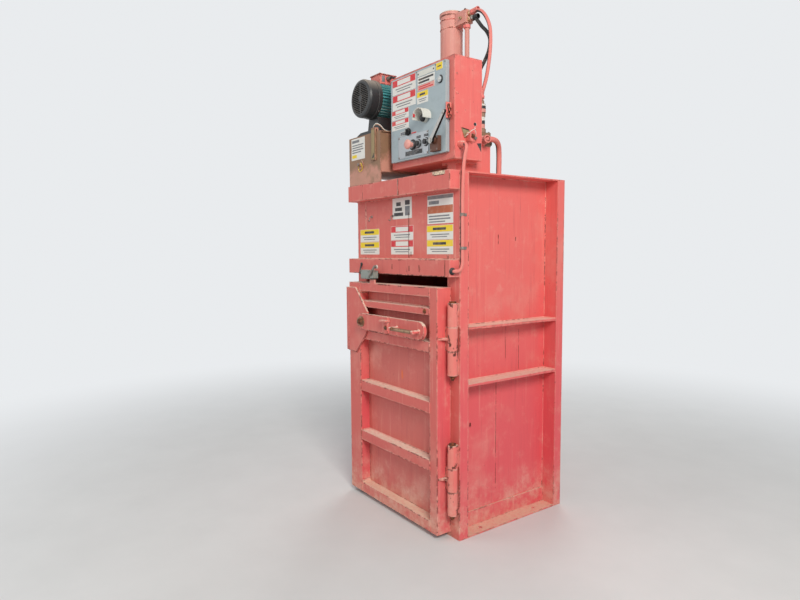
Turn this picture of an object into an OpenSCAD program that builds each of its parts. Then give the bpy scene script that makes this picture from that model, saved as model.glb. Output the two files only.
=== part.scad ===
// Vertical recycling baler. A welded press body stands on the floor, with a ribbed chamber door
// and its lever latch in front. The ram, the oil tank with motor and pump, and the control box
// stand on the deck. Millimetres. +Z is up, the front is -Y, and the origin lies on the floor in
// the middle of the four floor bolts.

/* [Body] */
// Width over the posts
body_w = 930; // [900:5:1000]
// Depth from the front to the rear of the posts
body_d = 760; // [720:5:820]
// Height of the deck above the floor
body_h = 1830; // [1800:5:1900]
// Width of a post, which is how far the side panel is set back
post_w = 87; // [75:1:95]
// Depth of a front post
post_front_d = 57; // [45:1:70]
// Depth of a rear post
post_rear_d = 55; // [45:1:70]
// Wall of the folded and welded plate
wall_t = 6; // [4:0.5:8]
// Thickness of the deck plate
deck_t = 7; // [5:0.5:12]
// How far the back panel is set in from the rear of the posts
back_recess = 80; // [60:1:100]
// Thickness of the shelf ribs on the sides and back
rib_t = 12; // [8:1:20]
// Top of the upper shelf rib
rib_high_z = 1072; // [980:1:1150]
// Top of the lower shelf rib
rib_low_z = 786; // [600:1:900]
// How far the two front beams stand proud of the posts
beam_out = 65; // [50:1:75]
// Height of the beam along the deck
upper_beam_h = 90; // [70:1:110]
// Height of the beam over the door
lower_beam_h = 84; // [70:1:100]
// Underside of the beam over the door
lower_beam_z = 1322; // [1320:1:1350]
// Leg height of the angles along the foot of the side panels
base_leg_h = 80; // [60:1:110]
// Thickness of those angles
base_t = 8; // [6:0.5:12]
// Radius of a floor bolt hole
bolt_hole_r = 9; // [7:0.5:11]
// Spacing of the floor bolt holes from left to right
bolt_dx = 850; // [830:1:870]
// Spacing of the floor bolt holes from front to back
bolt_dy = 400; // [300:1:500]

/* [Chamber] */
// Top of the chamber floor
floor_z = 80; // [60:1:110]
// Thickness of the floor and platen bars
bar_t = 8; // [6:1:12]
// Width of a tie slot between two bars
tie_slot = 30; // [20:1:40]
// Spacing of the tie slots
tie_pitch = 150; // [130:1:160]
// Depth of the three cross channels under the floor
joist_d = 46; // [30:1:60]

/* [Door] */
// Right edge of the door, to the right of the middle
door_right = 398; // [392:1:402]
// Width of the door
door_w = 826; // [800:1:836]
// Height of the door
door_h = 1243; // [1200:1:1250]
// Underside of the door above the floor
door_z = 26; // [15:1:40]
// Depth of the door
door_d = 87; // [80:1:95]
// Running gap between the door and the posts
door_gap = 1; // [0.5:0.5:3]
// Width of the left stile
stile_left_w = 118; // [100:1:130]
// Width of the right stile
stile_right_w = 59; // [50:1:75]
// Height of the top rail
top_rail_h = 47; // [40:1:60]
// Height of the bottom rail
bottom_rail_h = 55; // [45:1:70]
// How deep the door sheet lies behind the door's face
door_recess = 57; // [50:1:62]
// Corner radius of the door's window
window_r = 15; // [8:1:25]

/* [Hinges] */
// Hinge line, to the right of the middle
hinge_x = 443; // [438:0.5:445]
// Radius of a hinge knuckle
knuckle_r = 25; // [22:0.5:27]
// Radius of a hinge pin
pin_r = 12.5; // [10:0.5:15]
// Radial clearance between a pin or shaft and its bore
run_gap = 0.06; // [0.02:0.01:0.1]
// Height of each hinge
hinge_h = 356; // [300:1:400]
// Foot of the lower hinge
hinge_low_z = 136; // [110:1:160]
// Foot of the upper hinge
hinge_high_z = 840; // [800:1:870]

/* [Latch] */
// Height of the latch pivot
latch_z = 1050; // [1045:1:1060]
// Latch pivot, to the left of the middle
latch_x = 250; // [240:1:260]
// Height of the latch arm
arm_h = 92; // [80:1:96]
// Distance between the pivot and the far end's centre
arm_len = 535; // [480:1:545]
// Thickness of the latch arm
arm_t = 18; // [12:1:20]
// Thickness of the plate under the arm
latch_plate_t = 10; // [8:1:12]
// Radius of the latch shaft
latch_shaft_r = 15; // [12:0.5:16]
// Radius of the grab rod
rod_grip_r = 9; // [7:0.5:11]
// Finger room behind the grab rod
grip_room = 32; // [28:1:45]

/* [Ram] */
// Ram centre line, in front of the middle
ram_fwd = 37; // [20:1:50]
// Outer radius of the cylinder barrel
barrel_r = 62.5; // [58:0.5:66]
// Bore radius of the barrel
bore_r = 50; // [45:0.5:53]
// Lower end of the barrel
barrel_z0 = 1725; // [1715:1:1740]
// Upper end of the barrel
barrel_z1 = 2750; // [2700:1:2800]
// Radius of the piston rod
ram_rod_r = 31.5; // [25:0.5:35]
// Height of the platen's pressing face when it is up
platen_z = 1424; // [1410:1:1440]
// Gap between the platen and the chamber walls
platen_gap = 8; // [5:1:12]
// Height of the platen's box
platen_h = 150; // [120:1:160]

/* [Tank and motor] */
// Width of the oil tank
tank_w = 328; // [300:1:340]
// Depth of the oil tank
tank_d = 450; // [420:1:480]
// Height of the oil tank over the deck
tank_h = 270; // [240:1:280]
// Free height under the tank between its end plates
tank_lift = 56; // [40:1:70]
// Height of the motor's axis above the deck
motor_z = 475; // [465:1:490]
// Radius of the motor over its fins
motor_r = 98; // [88:1:102]
// Length of the motor's finned body
motor_len = 205; // [180:1:220]
// Radius of the fan cowl
cowl_r = 105; // [103:1:112]
// Length of the fan cowl
cowl_len = 84; // [70:1:95]
// Number of fins around the motor
fins = 36; // [24:1:44]

/* [Control box] */
// Width of the control box
cbox_w = 519; // [480:1:530]
// Height of the control box
cbox_h = 487; // [450:1:510]
// Depth of the control box
cbox_d = 178; // [160:1:180]
// Right side of the control box, to the right of the middle
cbox_right = 424; // [415:1:430]
// Free height under the control box
cbox_lift = 61; // [50:1:80]
// Sheet of the control box
cbox_t = 3; // [2:0.5:4]
// Width of the grey door
cdoor_w = 463; // [440:1:466]
// Height of the grey door
cdoor_h = 435; // [410:1:440]
// Thickness of the grey door
cdoor_t = 20; // [15:1:25]
// Height of a post under the control box
cpost_h = 150; // [130:1:170]
// Radius of the conduit
conduit_r = 9.5; // [8:0.5:11]
// Radius of the two hoses to the cylinder's cap end
cap_hose_r = 9.5; // [8:0.5:11]
// Radius of the hose to the cylinder's rod end
rod_hose_r = 14; // [12:0.5:15]
// Radius of the hoses between pump, valves and tank
power_hose_r = 11; // [9:0.5:12]

/* [Hidden] */
$fn = 64;
eps = 1;

red = [0.80, 0.36, 0.33];
dark_red = [0.70, 0.26, 0.27];
dusty = [0.66, 0.52, 0.40];
steel = [0.62, 0.62, 0.62];
grey_paint = [0.68, 0.72, 0.72];
black = [0.10, 0.10, 0.11];
teal = [0.22, 0.62, 0.64];

x_out = body_w / 2;
x_set = x_out - post_w;
x_in = x_set - wall_t;
y_front = -body_d / 2;
y_back = body_d / 2;
y_rear_in = y_back - back_recess;
deck_under = body_h - deck_t;
rib_y0 = y_front + post_front_d;
rib_y1 = y_back - post_rear_d;
lower_beam_top = lower_beam_z + lower_beam_h;

door_left = door_right - door_w;
door_top = door_z + door_h;
door_back = y_front - door_gap;
door_face = door_back - door_d;
door_sheet_y = door_face + door_recess;
win_x0 = door_left + stile_left_w;
win_x1 = door_right - stile_right_w;
win_z0 = door_z + bottom_rail_h;
win_z1 = door_top - top_rail_h;
// Underside and height of each rib in the door's window, from the top down
door_rib_z = [1131, 944, 637, 342];
door_rib_h = [35, 54, 58, 55];

hinge_y = y_front - knuckle_r - 2;
knuckle_gap = 1;
knuckle_third = hinge_h / 3;
hinge_feet = [hinge_low_z, hinge_high_z];
pin_head_r = 18;
pin_head_h = 8;
pin_tip_h = 26;

latch_px = -latch_x;
arm_gap = 1;
arm_back = door_face - latch_plate_t - arm_gap;
arm_face = arm_back - arm_t;
tongue_t = 12;
tongue_h = 30;
tongue_y0 = door_face + 16;
tongue_y1 = tongue_y0 + tongue_t;
tongue_room = 4;
tongue_tip = door_left - 3;
boss_y0 = tongue_y1 + 2;
keeper_gap = 3;

ram_y = -ram_fwd;
gland_head_h = 28;
gland_plug_h = 45;
piston_h = 60;
piston_top = barrel_z1 - 20;
platen_top = platen_z + platen_h;
clevis_z = platen_top + 42;
platen_x = x_in - platen_gap;
platen_y0 = y_front + wall_t + 6;
platen_y1 = y_rear_in - platen_gap;
platen_guard = 20;
port_x1 = barrel_r + 84;
pipe_x = barrel_r + 67;
pipe_r = 13;
rod_port_z = barrel_z0 + gland_plug_h + 10;
rod_port_x = 76;
port_z0 = barrel_z1 - 74;
flange_half = 110;
flange_t = 24;

tank_x0 = -x_out + 18;
tank_x1 = tank_x0 + tank_w;
tank_y0 = y_front - beam_out;
tank_y1 = tank_y0 + tank_d;
tank_top = body_h + tank_h;
tank_plate_t = 6;
tank_lid_t = 5;
lid_top = tank_top + tank_lid_t;
motor_x = (tank_x0 + tank_x1) / 2;
motor_cz = body_h + motor_z;
cowl_y0 = tank_y0 - 24;
cowl_y1 = cowl_y0 + cowl_len;
motor_y1 = cowl_y1 + motor_len;
fin_h = 12;
fin_t = 3.2;
shaft_r = 14;
pump_y1 = motor_y1 + 100;
seat_gap = 0.2;

cbox_x1 = cbox_right;
cbox_x0 = cbox_x1 - cbox_w;
cbox_y0 = y_front;
cbox_y1 = cbox_y0 + cbox_d;
cbox_z0 = body_h + cbox_lift;
cbox_z1 = cbox_z0 + cbox_h;
cdoor_x0 = cbox_x0 + 20;
cdoor_x1 = cdoor_x0 + cdoor_w;
cdoor_z0 = cbox_z0 + 34;
cdoor_z1 = cdoor_z0 + cdoor_h;
cdoor_back = cbox_y0 - 1;
cdoor_face = cdoor_back - cdoor_t;
cdoor_lap = 14;
butt_r = 5;
butt_pin_r = 3;
butt_gap = 0.5;
butt_h = 66;
butt_x = cdoor_x0 - butt_r - 1;
butt_y = cbox_y0 - butt_r - 1;
butt_feet = [cdoor_z0 + 46, cdoor_z1 - 46 - butt_h];
cdoor_r = 6;
pad_t = 3;
pad_face = cdoor_face - pad_t;
pad_x0 = cdoor_x0 + 69;
pad_x1 = pad_x0 + 258;
pad_z0 = cdoor_z0 + 10;
pad_z1 = pad_z0 + 116;
button_z = pad_z0 + 60;
estop_x = pad_x0 + 129;
start_x = estop_x + 50;
return_x = start_x + 62;
selector_x = pad_x0 + 88;
selector_z = pad_z1 + 14;
button_r = 13;
button_gap = 0.3;
lock_x = cdoor_x1 - 44;
lock_z = cdoor_z1 - 84;
throw_x = pad_x1 + 68;
throw_z = cdoor_z0 + 60;
throw_len = 165;
cpost_y1 = cbox_y1 + 118;
cpost_w = 62;
cpost_x1 = cbox_x1 - 62;
cpost_top = body_h + cpost_h;
hose_x = 340;
hose_y = 0;

// Corner points of the straight and curved runs of hose and conduit, chosen by hand
cap_hose_black = [[172, -37, 2692], [190, -37, 2692], [216, -36, 2668], [242, -32, 2628],
    [270, -28, 2598], [290, -25, 2562], [294, -25, 2528], [285, -27, 2488], [262, -32, 2446],
    [242, -48, 2398], [232, -76, 2330], [234, -106, 2260], [250, -132, 2180], [282, -148, 2116],
    [308, -150, 2076], [308, -150, 2050]];
cap_hose_red = [[172, -37, 2724], [202, -37, 2724], [248, -42, 2702], [288, -47, 2660],
    [320, -53, 2604], [335, -60, 2540], [341, -69, 2470], [342, -80, 2400], [340, -94, 2330],
    [334, -112, 2278], [330, -120, 2248], [330, -120, 2228]];
rod_hose_route = [[362, -141, 2004], [380, -141, 2004], [396, -126, 2006], [392, -96, 2012],
    [380, -58, 2008], [362, -26, 1992], [348, -8, 1964], [341, 0, 1925], [340, 0, 1880],
    [340, 0, 1836], [338, 0, 1806], [318, -4, 1786], [276, -12, 1780], [200, -26, 1780],
    [120, -37, 1780], [76, -37, 1780]];
pressure_route = [[-283, 36, 2190], [-283, 60, 2190], [-268, 92, 2178], [-232, 112, 2150],
    [-170, 122, 2100], [-80, 122, 2050], [40, 110, 2020], [150, 70, 2010], [230, 10, 2008],
    [276, -26, 2008], [312, -44, 2008], [326, -66, 2008], [326, -82, 2008]];
return_route = [[300, -82, 2030], [300, -66, 2030], [280, -30, 2036], [220, 30, 2050],
    [120, 92, 2080], [0, 128, 2120], [-100, 126, 2160], [-170, 90, 2190], [-196, 40, 2192],
    [-200, -4, 2176], [-200, -20, 2140], [-200, -22, 2106]];
conduit_route = [[432, -345, 1958], [446, -345, 1958], [462, -346, 1956], [473, -349, 1946],
    [477, -353, 1928], [477, -364, 1880], [477, -372, 1800], [477, -375, 1700],
    [477, -375, 1560], [477, -375, 1420], [477, -376, 1388], [479, -384, 1364],
    [482, -400, 1352], [481, -418, 1350], [474, -430, 1350], [465, -430, 1350]];

function unit(v) = v / norm(v);
function ahead(p, i) = p[min(i + 1, len(p) - 1)] - p[max(i - 1, 0)];
function directions(p) = [for (i = [0 : len(p) - 1]) unit(ahead(p, i))];
function squared(v, t) = unit(v - (v * t) * t);
// A sideways direction carried along the line without twisting
function sideways(t) = [for (i = 0, s = squared([0.31, 0.17, 0.93], t[0]); i < len(t);
    i = i + 1, s = i < len(t) ? squared(s, t[i]) : s) s];
// The left and right edges of the bars that the tie slots leave between x0 and x1
function bars(x0, x1) = [
    [x0, -1.5 * tie_pitch - tie_slot / 2],
    for (i = [-1.5 : 0.5]) [i * tie_pitch + tie_slot / 2, (i + 1) * tie_pitch - tie_slot / 2],
    [1.5 * tie_pitch + tie_slot / 2, x1]];

module block(x, y, z) translate([x[0], y[0], z[0]]) cube([x[1] - x[0], y[1] - y[0], z[1] - z[0]]);

module along_y(y0, y1) translate([0, y1, 0]) rotate([90, 0, 0]) linear_extrude(y1 - y0) children();

module rod_y(x, z, y0, y1, r) translate([x, y0, z]) rotate([-90, 0, 0]) cylinder(r = r, h = y1 - y0);

module rod_x(x0, x1, y, z, r) translate([x0, y, z]) rotate([0, 90, 0]) cylinder(r = r, h = x1 - x0);

module both_sides() {
    children();
    mirror([1, 0, 0]) children();
}

module round_rect(x, z, r) translate([x[0], z[0]]) union() {
    translate([r, 0]) square([x[1] - x[0] - 2 * r, z[1] - z[0]]);
    translate([0, r]) square([x[1] - x[0], z[1] - z[0] - 2 * r]);
    for (i = [r, x[1] - x[0] - r]) for (k = [r, z[1] - z[0] - r]) translate([i, k]) circle(r = r, $fn = 32);
}

module tube(line, r, sides) {
    t = directions(line);
    s = sideways(t);
    n = len(line);
    ring = [for (i = [0 : n - 1]) for (k = [0 : sides - 1])
        line[i] + r * (cos(360 * k / sides) * s[i] + sin(360 * k / sides) * cross(t[i], s[i]))];
    skin = [for (i = [0 : n - 2]) for (k = [0 : sides - 1])
        let (a = i * sides + k, b = i * sides + (k + 1) % sides) [a, a + sides, b + sides, b]];
    first = [for (k = [0 : sides - 1]) k];
    last = [for (k = [sides - 1 : -1 : 0]) (n - 1) * sides + k];
    polyhedron(points = ring, faces = concat(skin, [first], [last]), convexity = 6);
}

module hex_nut(r, h) cylinder(r = r, h = h, $fn = 6);

// The press body

module front_posts() color(red) both_sides() difference() {
    block([x_set, x_out], [y_front, rib_y0], [0, deck_under]);
    block([x_set + wall_t, x_out - wall_t], [y_front + wall_t, rib_y0 - wall_t], [-eps, deck_under + eps]);
}

module rear_posts() color(red) both_sides() difference() {
    block([x_set, x_out], [rib_y1, y_back], [0, deck_under]);
    block([x_set + wall_t, x_out - wall_t], [rib_y1 + wall_t, y_back - wall_t], [-eps, deck_under + eps]);
}

module side_panel_right() color(red) block([x_in, x_set], [y_front, y_back], [0, deck_under]);

module side_panel_left() color(red) mirror([1, 0, 0]) block([x_in, x_set], [y_front, y_back], [0, deck_under]);

module back_panel() color(red) block([-x_in, x_in], [y_rear_in, y_rear_in + wall_t], [0, deck_under]);

module body_ribs() color(red) for (z = [rib_low_z, rib_high_z]) {
    both_sides() block([x_set, x_out], [rib_y0, rib_y1], [z - rib_t, z]);
    block([-x_in, x_in], [y_rear_in + wall_t, y_back], [z - rib_t, z]);
}

// A beam folded from plate, open towards the posts, with closed ends
module folded_beam(z0, z1) difference() {
    block([-x_out, x_out], [y_front - beam_out, y_front], [z0, z1]);
    block([wall_t - x_out, x_out - wall_t], [y_front - beam_out + wall_t, y_front + eps],
        [z0 + wall_t, z1 - wall_t]);
}

module upper_beam() color(red) folded_beam(body_h - upper_beam_h, body_h);

module lower_beam() color(red) folded_beam(lower_beam_z, lower_beam_top);

module header_panel() color(red) block([-x_in, x_in], [y_front, y_front + wall_t], [lower_beam_z, deck_under]);

module deck_plate() color(red) difference() {
    block([-x_out, x_out], [y_front, y_back], [deck_under, body_h]);
    translate([0, ram_y, deck_under - eps]) cylinder(r = barrel_r + 3, h = deck_t + 2 * eps);
    translate([hose_x, hose_y, deck_under - eps]) cylinder(r = 22, h = deck_t + 2 * eps);
}

module base_angles() color(red) both_sides() difference() {
    union() {
        block([x_set, x_out], [rib_y0, rib_y1], [0, base_t]);
        block([x_set, x_set + base_t], [rib_y0, rib_y1], [0, base_t + base_leg_h]);
    }
    for (s = [-1, 1]) translate([bolt_dx / 2, s * bolt_dy / 2, -eps])
        cylinder(r = bolt_hole_r, h = base_t + 2 * eps);
}

module chamber_floor() color(dark_red) for (b = bars(-x_in, x_in))
    block(b, [y_front + wall_t, y_rear_in], [floor_z - bar_t, floor_z]);

module floor_frame() color(dark_red) for (y = [y_front + wall_t, ram_y - joist_d / 2, y_rear_in - joist_d])
    block([-x_in, x_in], [y, y + joist_d], [0, floor_z - bar_t]);

module latch_keeper() color(red) {
    keeper_x1 = tongue_tip - keeper_gap;
    lip_y = tongue_y0 - 10;
    block([keeper_x1 - 22, keeper_x1 - 12], [lip_y - 10, y_front], [latch_z - 188, latch_z + 188]);
    block([keeper_x1 - 12, keeper_x1], [lip_y - 10, lip_y], [latch_z - 188, latch_z + 188]);
}

module knuckle(z0, z1) difference() {
    union() {
        translate([hinge_x, hinge_y, z0]) cylinder(r = knuckle_r, h = z1 - z0);
        children();
    }
    translate([hinge_x, hinge_y, z0 - eps]) cylinder(r = pin_r + run_gap, h = z1 - z0 + 2 * eps);
}

module frame_knuckles() color(red) for (z = hinge_feet) for (k = [0, 2]) {
    z0 = z + k * knuckle_third;
    z1 = z0 + knuckle_third - knuckle_gap;
    knuckle(z0, z1) block([hinge_x - 14, hinge_x + 14], [hinge_y, y_front], [z0, z1]);
}

module hinge_pins() color(steel) for (z = hinge_feet) translate([hinge_x, hinge_y, z]) {
    cylinder(r = pin_r, h = hinge_h);
    translate([0, 0, hinge_h - knuckle_gap]) cylinder(r = pin_head_r, h = pin_head_h);
    translate([0, 0, -pin_tip_h]) cylinder(r1 = 5, r2 = pin_head_r, h = pin_tip_h);
}

// The ram and its cylinder

module cylinder_barrel() color(red) translate([0, ram_y, 0]) difference() {
    union() {
        translate([0, 0, barrel_z0]) cylinder(r = barrel_r, h = barrel_z1 - barrel_z0);
        translate([0, 0, barrel_z1 - 6]) rotate_extrude() polygon([[0, 0], [barrel_r + 5, 0],
            [barrel_r + 5, 16], [barrel_r - 2, 22], [30, 27], [12, 28], [12, 36], [0, 36]]);
        translate([0, 0, rod_port_z]) rotate([0, 90, 0]) cylinder(r = 17, h = rod_port_x);
    }
    translate([0, 0, barrel_z0 - eps]) cylinder(r = bore_r, h = barrel_z1 - 10 - barrel_z0 + eps);
    translate([0, 0, rod_port_z]) rotate([0, 90, 0]) cylinder(r = 8, h = rod_port_x + eps);
}

module cylinder_flange() color(red) translate([0, ram_y, body_h]) difference() {
    union() {
        linear_extrude(flange_t) round_rect([-flange_half, flange_half], [-flange_half, flange_half], 16);
        cylinder(r = barrel_r + 14, h = flange_t + 26);
        for (x = [-1, 1]) for (y = [-1, 1]) translate([x * (flange_half - 24), y * (flange_half - 24), 0])
            hex_nut(17, flange_t + 14);
    }
    translate([0, 0, -eps]) cylinder(r = barrel_r, h = flange_t + 30);
}

module rod_gland() color(steel) translate([0, ram_y, 0]) difference() {
    union() {
        translate([0, 0, barrel_z0 - gland_head_h]) cylinder(r = barrel_r, h = gland_head_h);
        translate([0, 0, barrel_z0]) cylinder(r = bore_r, h = gland_plug_h);
    }
    translate([0, 0, barrel_z0 - gland_head_h - eps])
        cylinder(r = ram_rod_r + run_gap, h = gland_head_h + gland_plug_h + 2 * eps);
}

module port_block() color(red) {
    difference() {
        block([0, port_x1], [ram_y - 26, ram_y + 26], [port_z0, barrel_z1 - 6]);
        translate([0, ram_y, port_z0 - eps]) cylinder(r = barrel_r, h = barrel_z1 - port_z0);
    }
    for (p = [cap_hose_black[0], cap_hose_red[0]]) rod_x(port_x1, p[0], p[1], p[2], 12);
    translate([pipe_x, ram_y, body_h]) cylinder(r = pipe_r, h = port_z0 - body_h);
    translate([pipe_x, ram_y, body_h]) cylinder(r = pipe_r + 6, h = 20);
}

module ram_rod() color(steel) translate([0, ram_y, 0]) {
    translate([0, 0, clevis_z + 34]) cylinder(r = ram_rod_r, h = piston_top - piston_h - clevis_z - 34);
    translate([0, 0, piston_top - piston_h]) cylinder(r = bore_r - 0.3, h = piston_h);
    difference() {
        translate([-20, -32, clevis_z - 30]) cube([40, 64, 64]);
        translate([-20 - eps, 0, clevis_z]) rotate([0, 90, 0]) cylinder(r = 16, h = 42);
    }
}

module platen() color(dark_red) {
    difference() {
        block([-platen_x + platen_guard, platen_x - platen_guard], [platen_y0 + platen_guard,
            platen_y1 - platen_guard], [platen_z + 2 * bar_t, platen_top]);
        for (s = [-1, 1]) for (k = [0, 1]) {
            x0 = 34 + k * (platen_x / 2 - 20);
            block([min(s * x0, s * (x0 + platen_x / 2 - 40)), max(s * x0, s * (x0 + platen_x / 2 - 40))],
                [platen_y0 + platen_guard + 12, platen_y1 - platen_guard - 12],
                [platen_z + 2 * bar_t + 12, platen_top + eps]);
        }
    }
    for (s = [-1, 1]) translate([s * 33 - 11, ram_y, clevis_z]) rotate([0, 90, 0]) {
        cylinder(r = 34, h = 22);
        translate([0, -34, 0]) cube([clevis_z - platen_top, 68, 22]);
    }
    rod_x(-44, 44, ram_y, clevis_z, 15.9);
}

module platen_bars() color(dark_red) for (b = bars(-platen_x, platen_x))
    block(b, [platen_y0, platen_y1], [platen_z, platen_z + 2 * bar_t]);

// The tank, the motor and the pump

module oil_tank() color(dusty) {
    for (y = [tank_y0, tank_y1 - tank_plate_t])
        block([tank_x0, tank_x1], [y, y + tank_plate_t], [body_h, tank_top]);
    block([tank_x0 + 8, tank_x1 - 8], [tank_y0, tank_y1], [body_h + tank_lift, tank_top]);
    block([tank_x0, tank_x1], [tank_y0, tank_y1], [tank_top, lid_top]);
    block([tank_x1 - 76, tank_x1 - 40], [tank_y0 - 10, tank_y0], [tank_top - 150, lid_top + 22]);
    block([tank_x1 - 76, tank_x1 - 40], [tank_y0 - 10, tank_y0 + 16], [lid_top + 14, lid_top + 22]);
    block([tank_x1 - 76, tank_x1 - 40], [tank_y0 + 6, tank_y0 + 16], [lid_top, lid_top + 22]);
    block([tank_x1 - 56, tank_x1], [tank_y0 + 90, tank_y0 + 200], [lid_top, lid_top + 14]);
    rod_y(tank_x0 + 127, body_h + 112, tank_y0 - 6, tank_y0, 27);
    rod_y(tank_x0 + 127, body_h + 112, tank_y0 - 14, tank_y0, 11);
}

module filler_cap() color(steel) translate([tank_x0 + 62, tank_y1 - 70, lid_top]) {
    cylinder(r = 20, h = 16);
    translate([0, 0, 16]) cylinder(r = 30, h = 30);
    translate([0, 0, 46]) cylinder(r1 = 30, r2 = 24, h = 6);
}

module motor_body() color(teal) difference() {
    union() {
        along_y(cowl_y1, motor_y1 - 24) translate([motor_x, motor_cz]) {
            circle(r = motor_r - fin_h);
            for (i = [0 : fins - 1]) rotate(i * 360 / fins) translate([0, -fin_t / 2]) square([motor_r, fin_t]);
        }
        rod_y(motor_x, motor_cz, motor_y1 - 24, motor_y1, motor_r - 2);
        rod_y(motor_x, motor_cz, cowl_y1 - 16, cowl_y1, motor_r - 4);
    }
    rod_y(motor_x, motor_cz, cowl_y1 - 16 - eps, motor_y1 - 60, shaft_r + run_gap);
}

module fan_cowl() color(black) {
    slot_r = cowl_r - 22;
    difference() {
        translate([motor_x, cowl_y0, motor_cz]) rotate([-90, 0, 0]) rotate_extrude() polygon([
            [0, 0], [cowl_r - 14, 0], [cowl_r - 5, 4], [cowl_r, 14], [cowl_r, cowl_len - 22],
            [cowl_r + 2, cowl_len - 20], [cowl_r + 2, cowl_len], [cowl_r - 3, cowl_len],
            [cowl_r - 3, 15], [cowl_r - 8, 7], [cowl_r - 15, 4], [0, 4]]);
        along_y(cowl_y0 - eps, cowl_y0 + 6) translate([motor_x, motor_cz]) intersection() {
            difference() {
                circle(r = slot_r);
                circle(r = 17);
                square([7, 2 * slot_r], center = true);
            }
            for (i = [-8 : 8]) translate([-slot_r, i * 10 - 3.2]) square([2 * slot_r, 6.4]);
        }
    }
    for (a = [45 : 90 : 315]) translate([motor_x, 0, motor_cz]) rotate([0, a, 0])
        block([motor_r - 4, cowl_r - 3], [cowl_y1 - 14, cowl_y1], [-8, 8]);
}

module motor_fan() color(black) {
    rod_y(motor_x, motor_cz, cowl_y0 + 12, motor_y1 - 62, shaft_r);
    rod_y(motor_x, motor_cz, cowl_y0 + 14, cowl_y0 + 54, 30);
    for (i = [0 : 8]) translate([motor_x, 0, motor_cz]) rotate([0, i * 40, 0])
        block([26, cowl_r - 18], [cowl_y0 + 14, cowl_y0 + 50], [-2, 2]);
}

module terminal_box() color(red) {
    difference() {
        block([motor_x - 46, motor_x + 46], [cowl_y1 + 20, cowl_y1 + 130], [motor_cz + motor_r - 12,
            motor_cz + motor_r + 42]);
        rod_y(motor_x, motor_cz, cowl_y1, motor_y1, motor_r + seat_gap);
    }
    block([motor_x - 50, motor_x + 50], [cowl_y1 + 16, cowl_y1 + 134], [motor_cz + motor_r + 42,
        motor_cz + motor_r + 47]);
}

module motor_base() color(black) {
    seat = motor_cz - motor_r;
    foot_top = lid_top + 9;
    along_y(cowl_y0 + 40, motor_y1 - 30) polygon([[motor_x - 100, lid_top], [motor_x + 100, lid_top],
        [motor_x + 100, foot_top], [motor_x + 62, foot_top + 13], [motor_x - 62, foot_top + 13],
        [motor_x - 100, foot_top]]);
    along_y(cowl_y1 + 4, motor_y1 - 34) polygon([[motor_x - 62, foot_top], [motor_x + 62, foot_top],
        [motor_x + 62, foot_top + 13], [motor_x + 46, seat - 6], [motor_x + 46, seat],
        [motor_x - 46, seat], [motor_x - 46, seat - 6], [motor_x - 62, foot_top + 13]]);
}

module pump() color(dusty) {
    rod_y(motor_x, motor_cz, motor_y1, motor_y1 + 12, 92);
    rod_y(motor_x, motor_cz, motor_y1 + 12, motor_y1 + 88, 62);
    rod_y(motor_x, motor_cz, motor_y1 + 88, pump_y1, 72);
    block([motor_x - 44, motor_x + 44], [pump_y1, pump_y1 + 86], [motor_cz - 52, motor_cz + 52]);
    rod_y(motor_x, motor_cz, pump_y1 + 86, pump_y1 + 96, 38);
    block([motor_x - 30, motor_x + 30], [pump_y1 + 20, pump_y1 + 70], [lid_top, motor_cz - 52]);
    rod_y(motor_x, 2190, pump_y1 + 70, 36, 16);
}

// The control box and its fittings

module box_posts() color(red) {
    block([cpost_x1 - cpost_w, cpost_x1], [cbox_y1, cpost_y1], [body_h, cpost_top]);
    block([cbox_x0, cbox_x0 + 60], [cbox_y1, cbox_y1 + 36], [body_h, cpost_top]);
    block([cpost_x1 - cpost_w - 40, cpost_x1 + 24], [cbox_y0 + 60, cbox_y1], [cbox_z0 - 12, cbox_z0]);
    block([cpost_x1 - cpost_w, cpost_x1], [cbox_y0 + 60, cbox_y1], [body_h, cbox_z0 - 12]);
}

module butt(z, y0, y1, x1) {
    translate([butt_x, butt_y, z]) cylinder(r = butt_r, h = butt_h / 3 - butt_gap);
    block([butt_x - butt_pin_r, x1], [y0, y1], [z, z + butt_h / 3 - butt_gap]);
}

module control_box() color(red) {
    for (z = butt_feet) {
        for (k = [0, 2]) butt(z + k * butt_h / 3, butt_y, cbox_y0, butt_x + butt_pin_r);
        translate([butt_x, butt_y, z]) cylinder(r = butt_pin_r, h = butt_h - butt_gap);
    }
    difference() {
        block([cbox_x0, cbox_x1], [cbox_y0, cbox_y1], [cbox_z0, cbox_z1]);
        block([cbox_x0 + cbox_t, cbox_x1 - cbox_t], [cbox_y0 + cbox_t, cbox_y1 - cbox_t],
            [cbox_z0 + cbox_t, cbox_z1 - cbox_t]);
        block([cdoor_x0 + cdoor_lap, cdoor_x1 - cdoor_lap], [cbox_y0 - eps, cbox_y0 + cbox_t + eps],
            [cdoor_z0 + cdoor_lap, cdoor_z1 - cdoor_lap]);
    }
    clasp_z = cdoor_z0 + 158;
    difference() {
        block([cdoor_x1 + 6, cdoor_x1 + 11], [cbox_y0 - 30, cbox_y0], [clasp_z, clasp_z + 74]);
        translate([cdoor_x1 + 6 - eps, cbox_y0 - 18, clasp_z + 56]) rotate([0, 90, 0]) cylinder(r = 6, h = 7);
    }
    translate([cbox_x1, cbox_y0 + 35, cbox_z0 + 67]) rotate([0, 90, 0]) cylinder(r = 17, h = 8);
    block([cbox_x1, cbox_x1 + 5], [cbox_y0 + 72, cbox_y0 + 128], [cbox_z0 + 88, cbox_z0 + 123]);
    block([cbox_x1, cbox_x1 + 34], [cbox_y0 + 72, cbox_y0 + 77], [cbox_z0 + 88, cbox_z0 + 123]);
}

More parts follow.
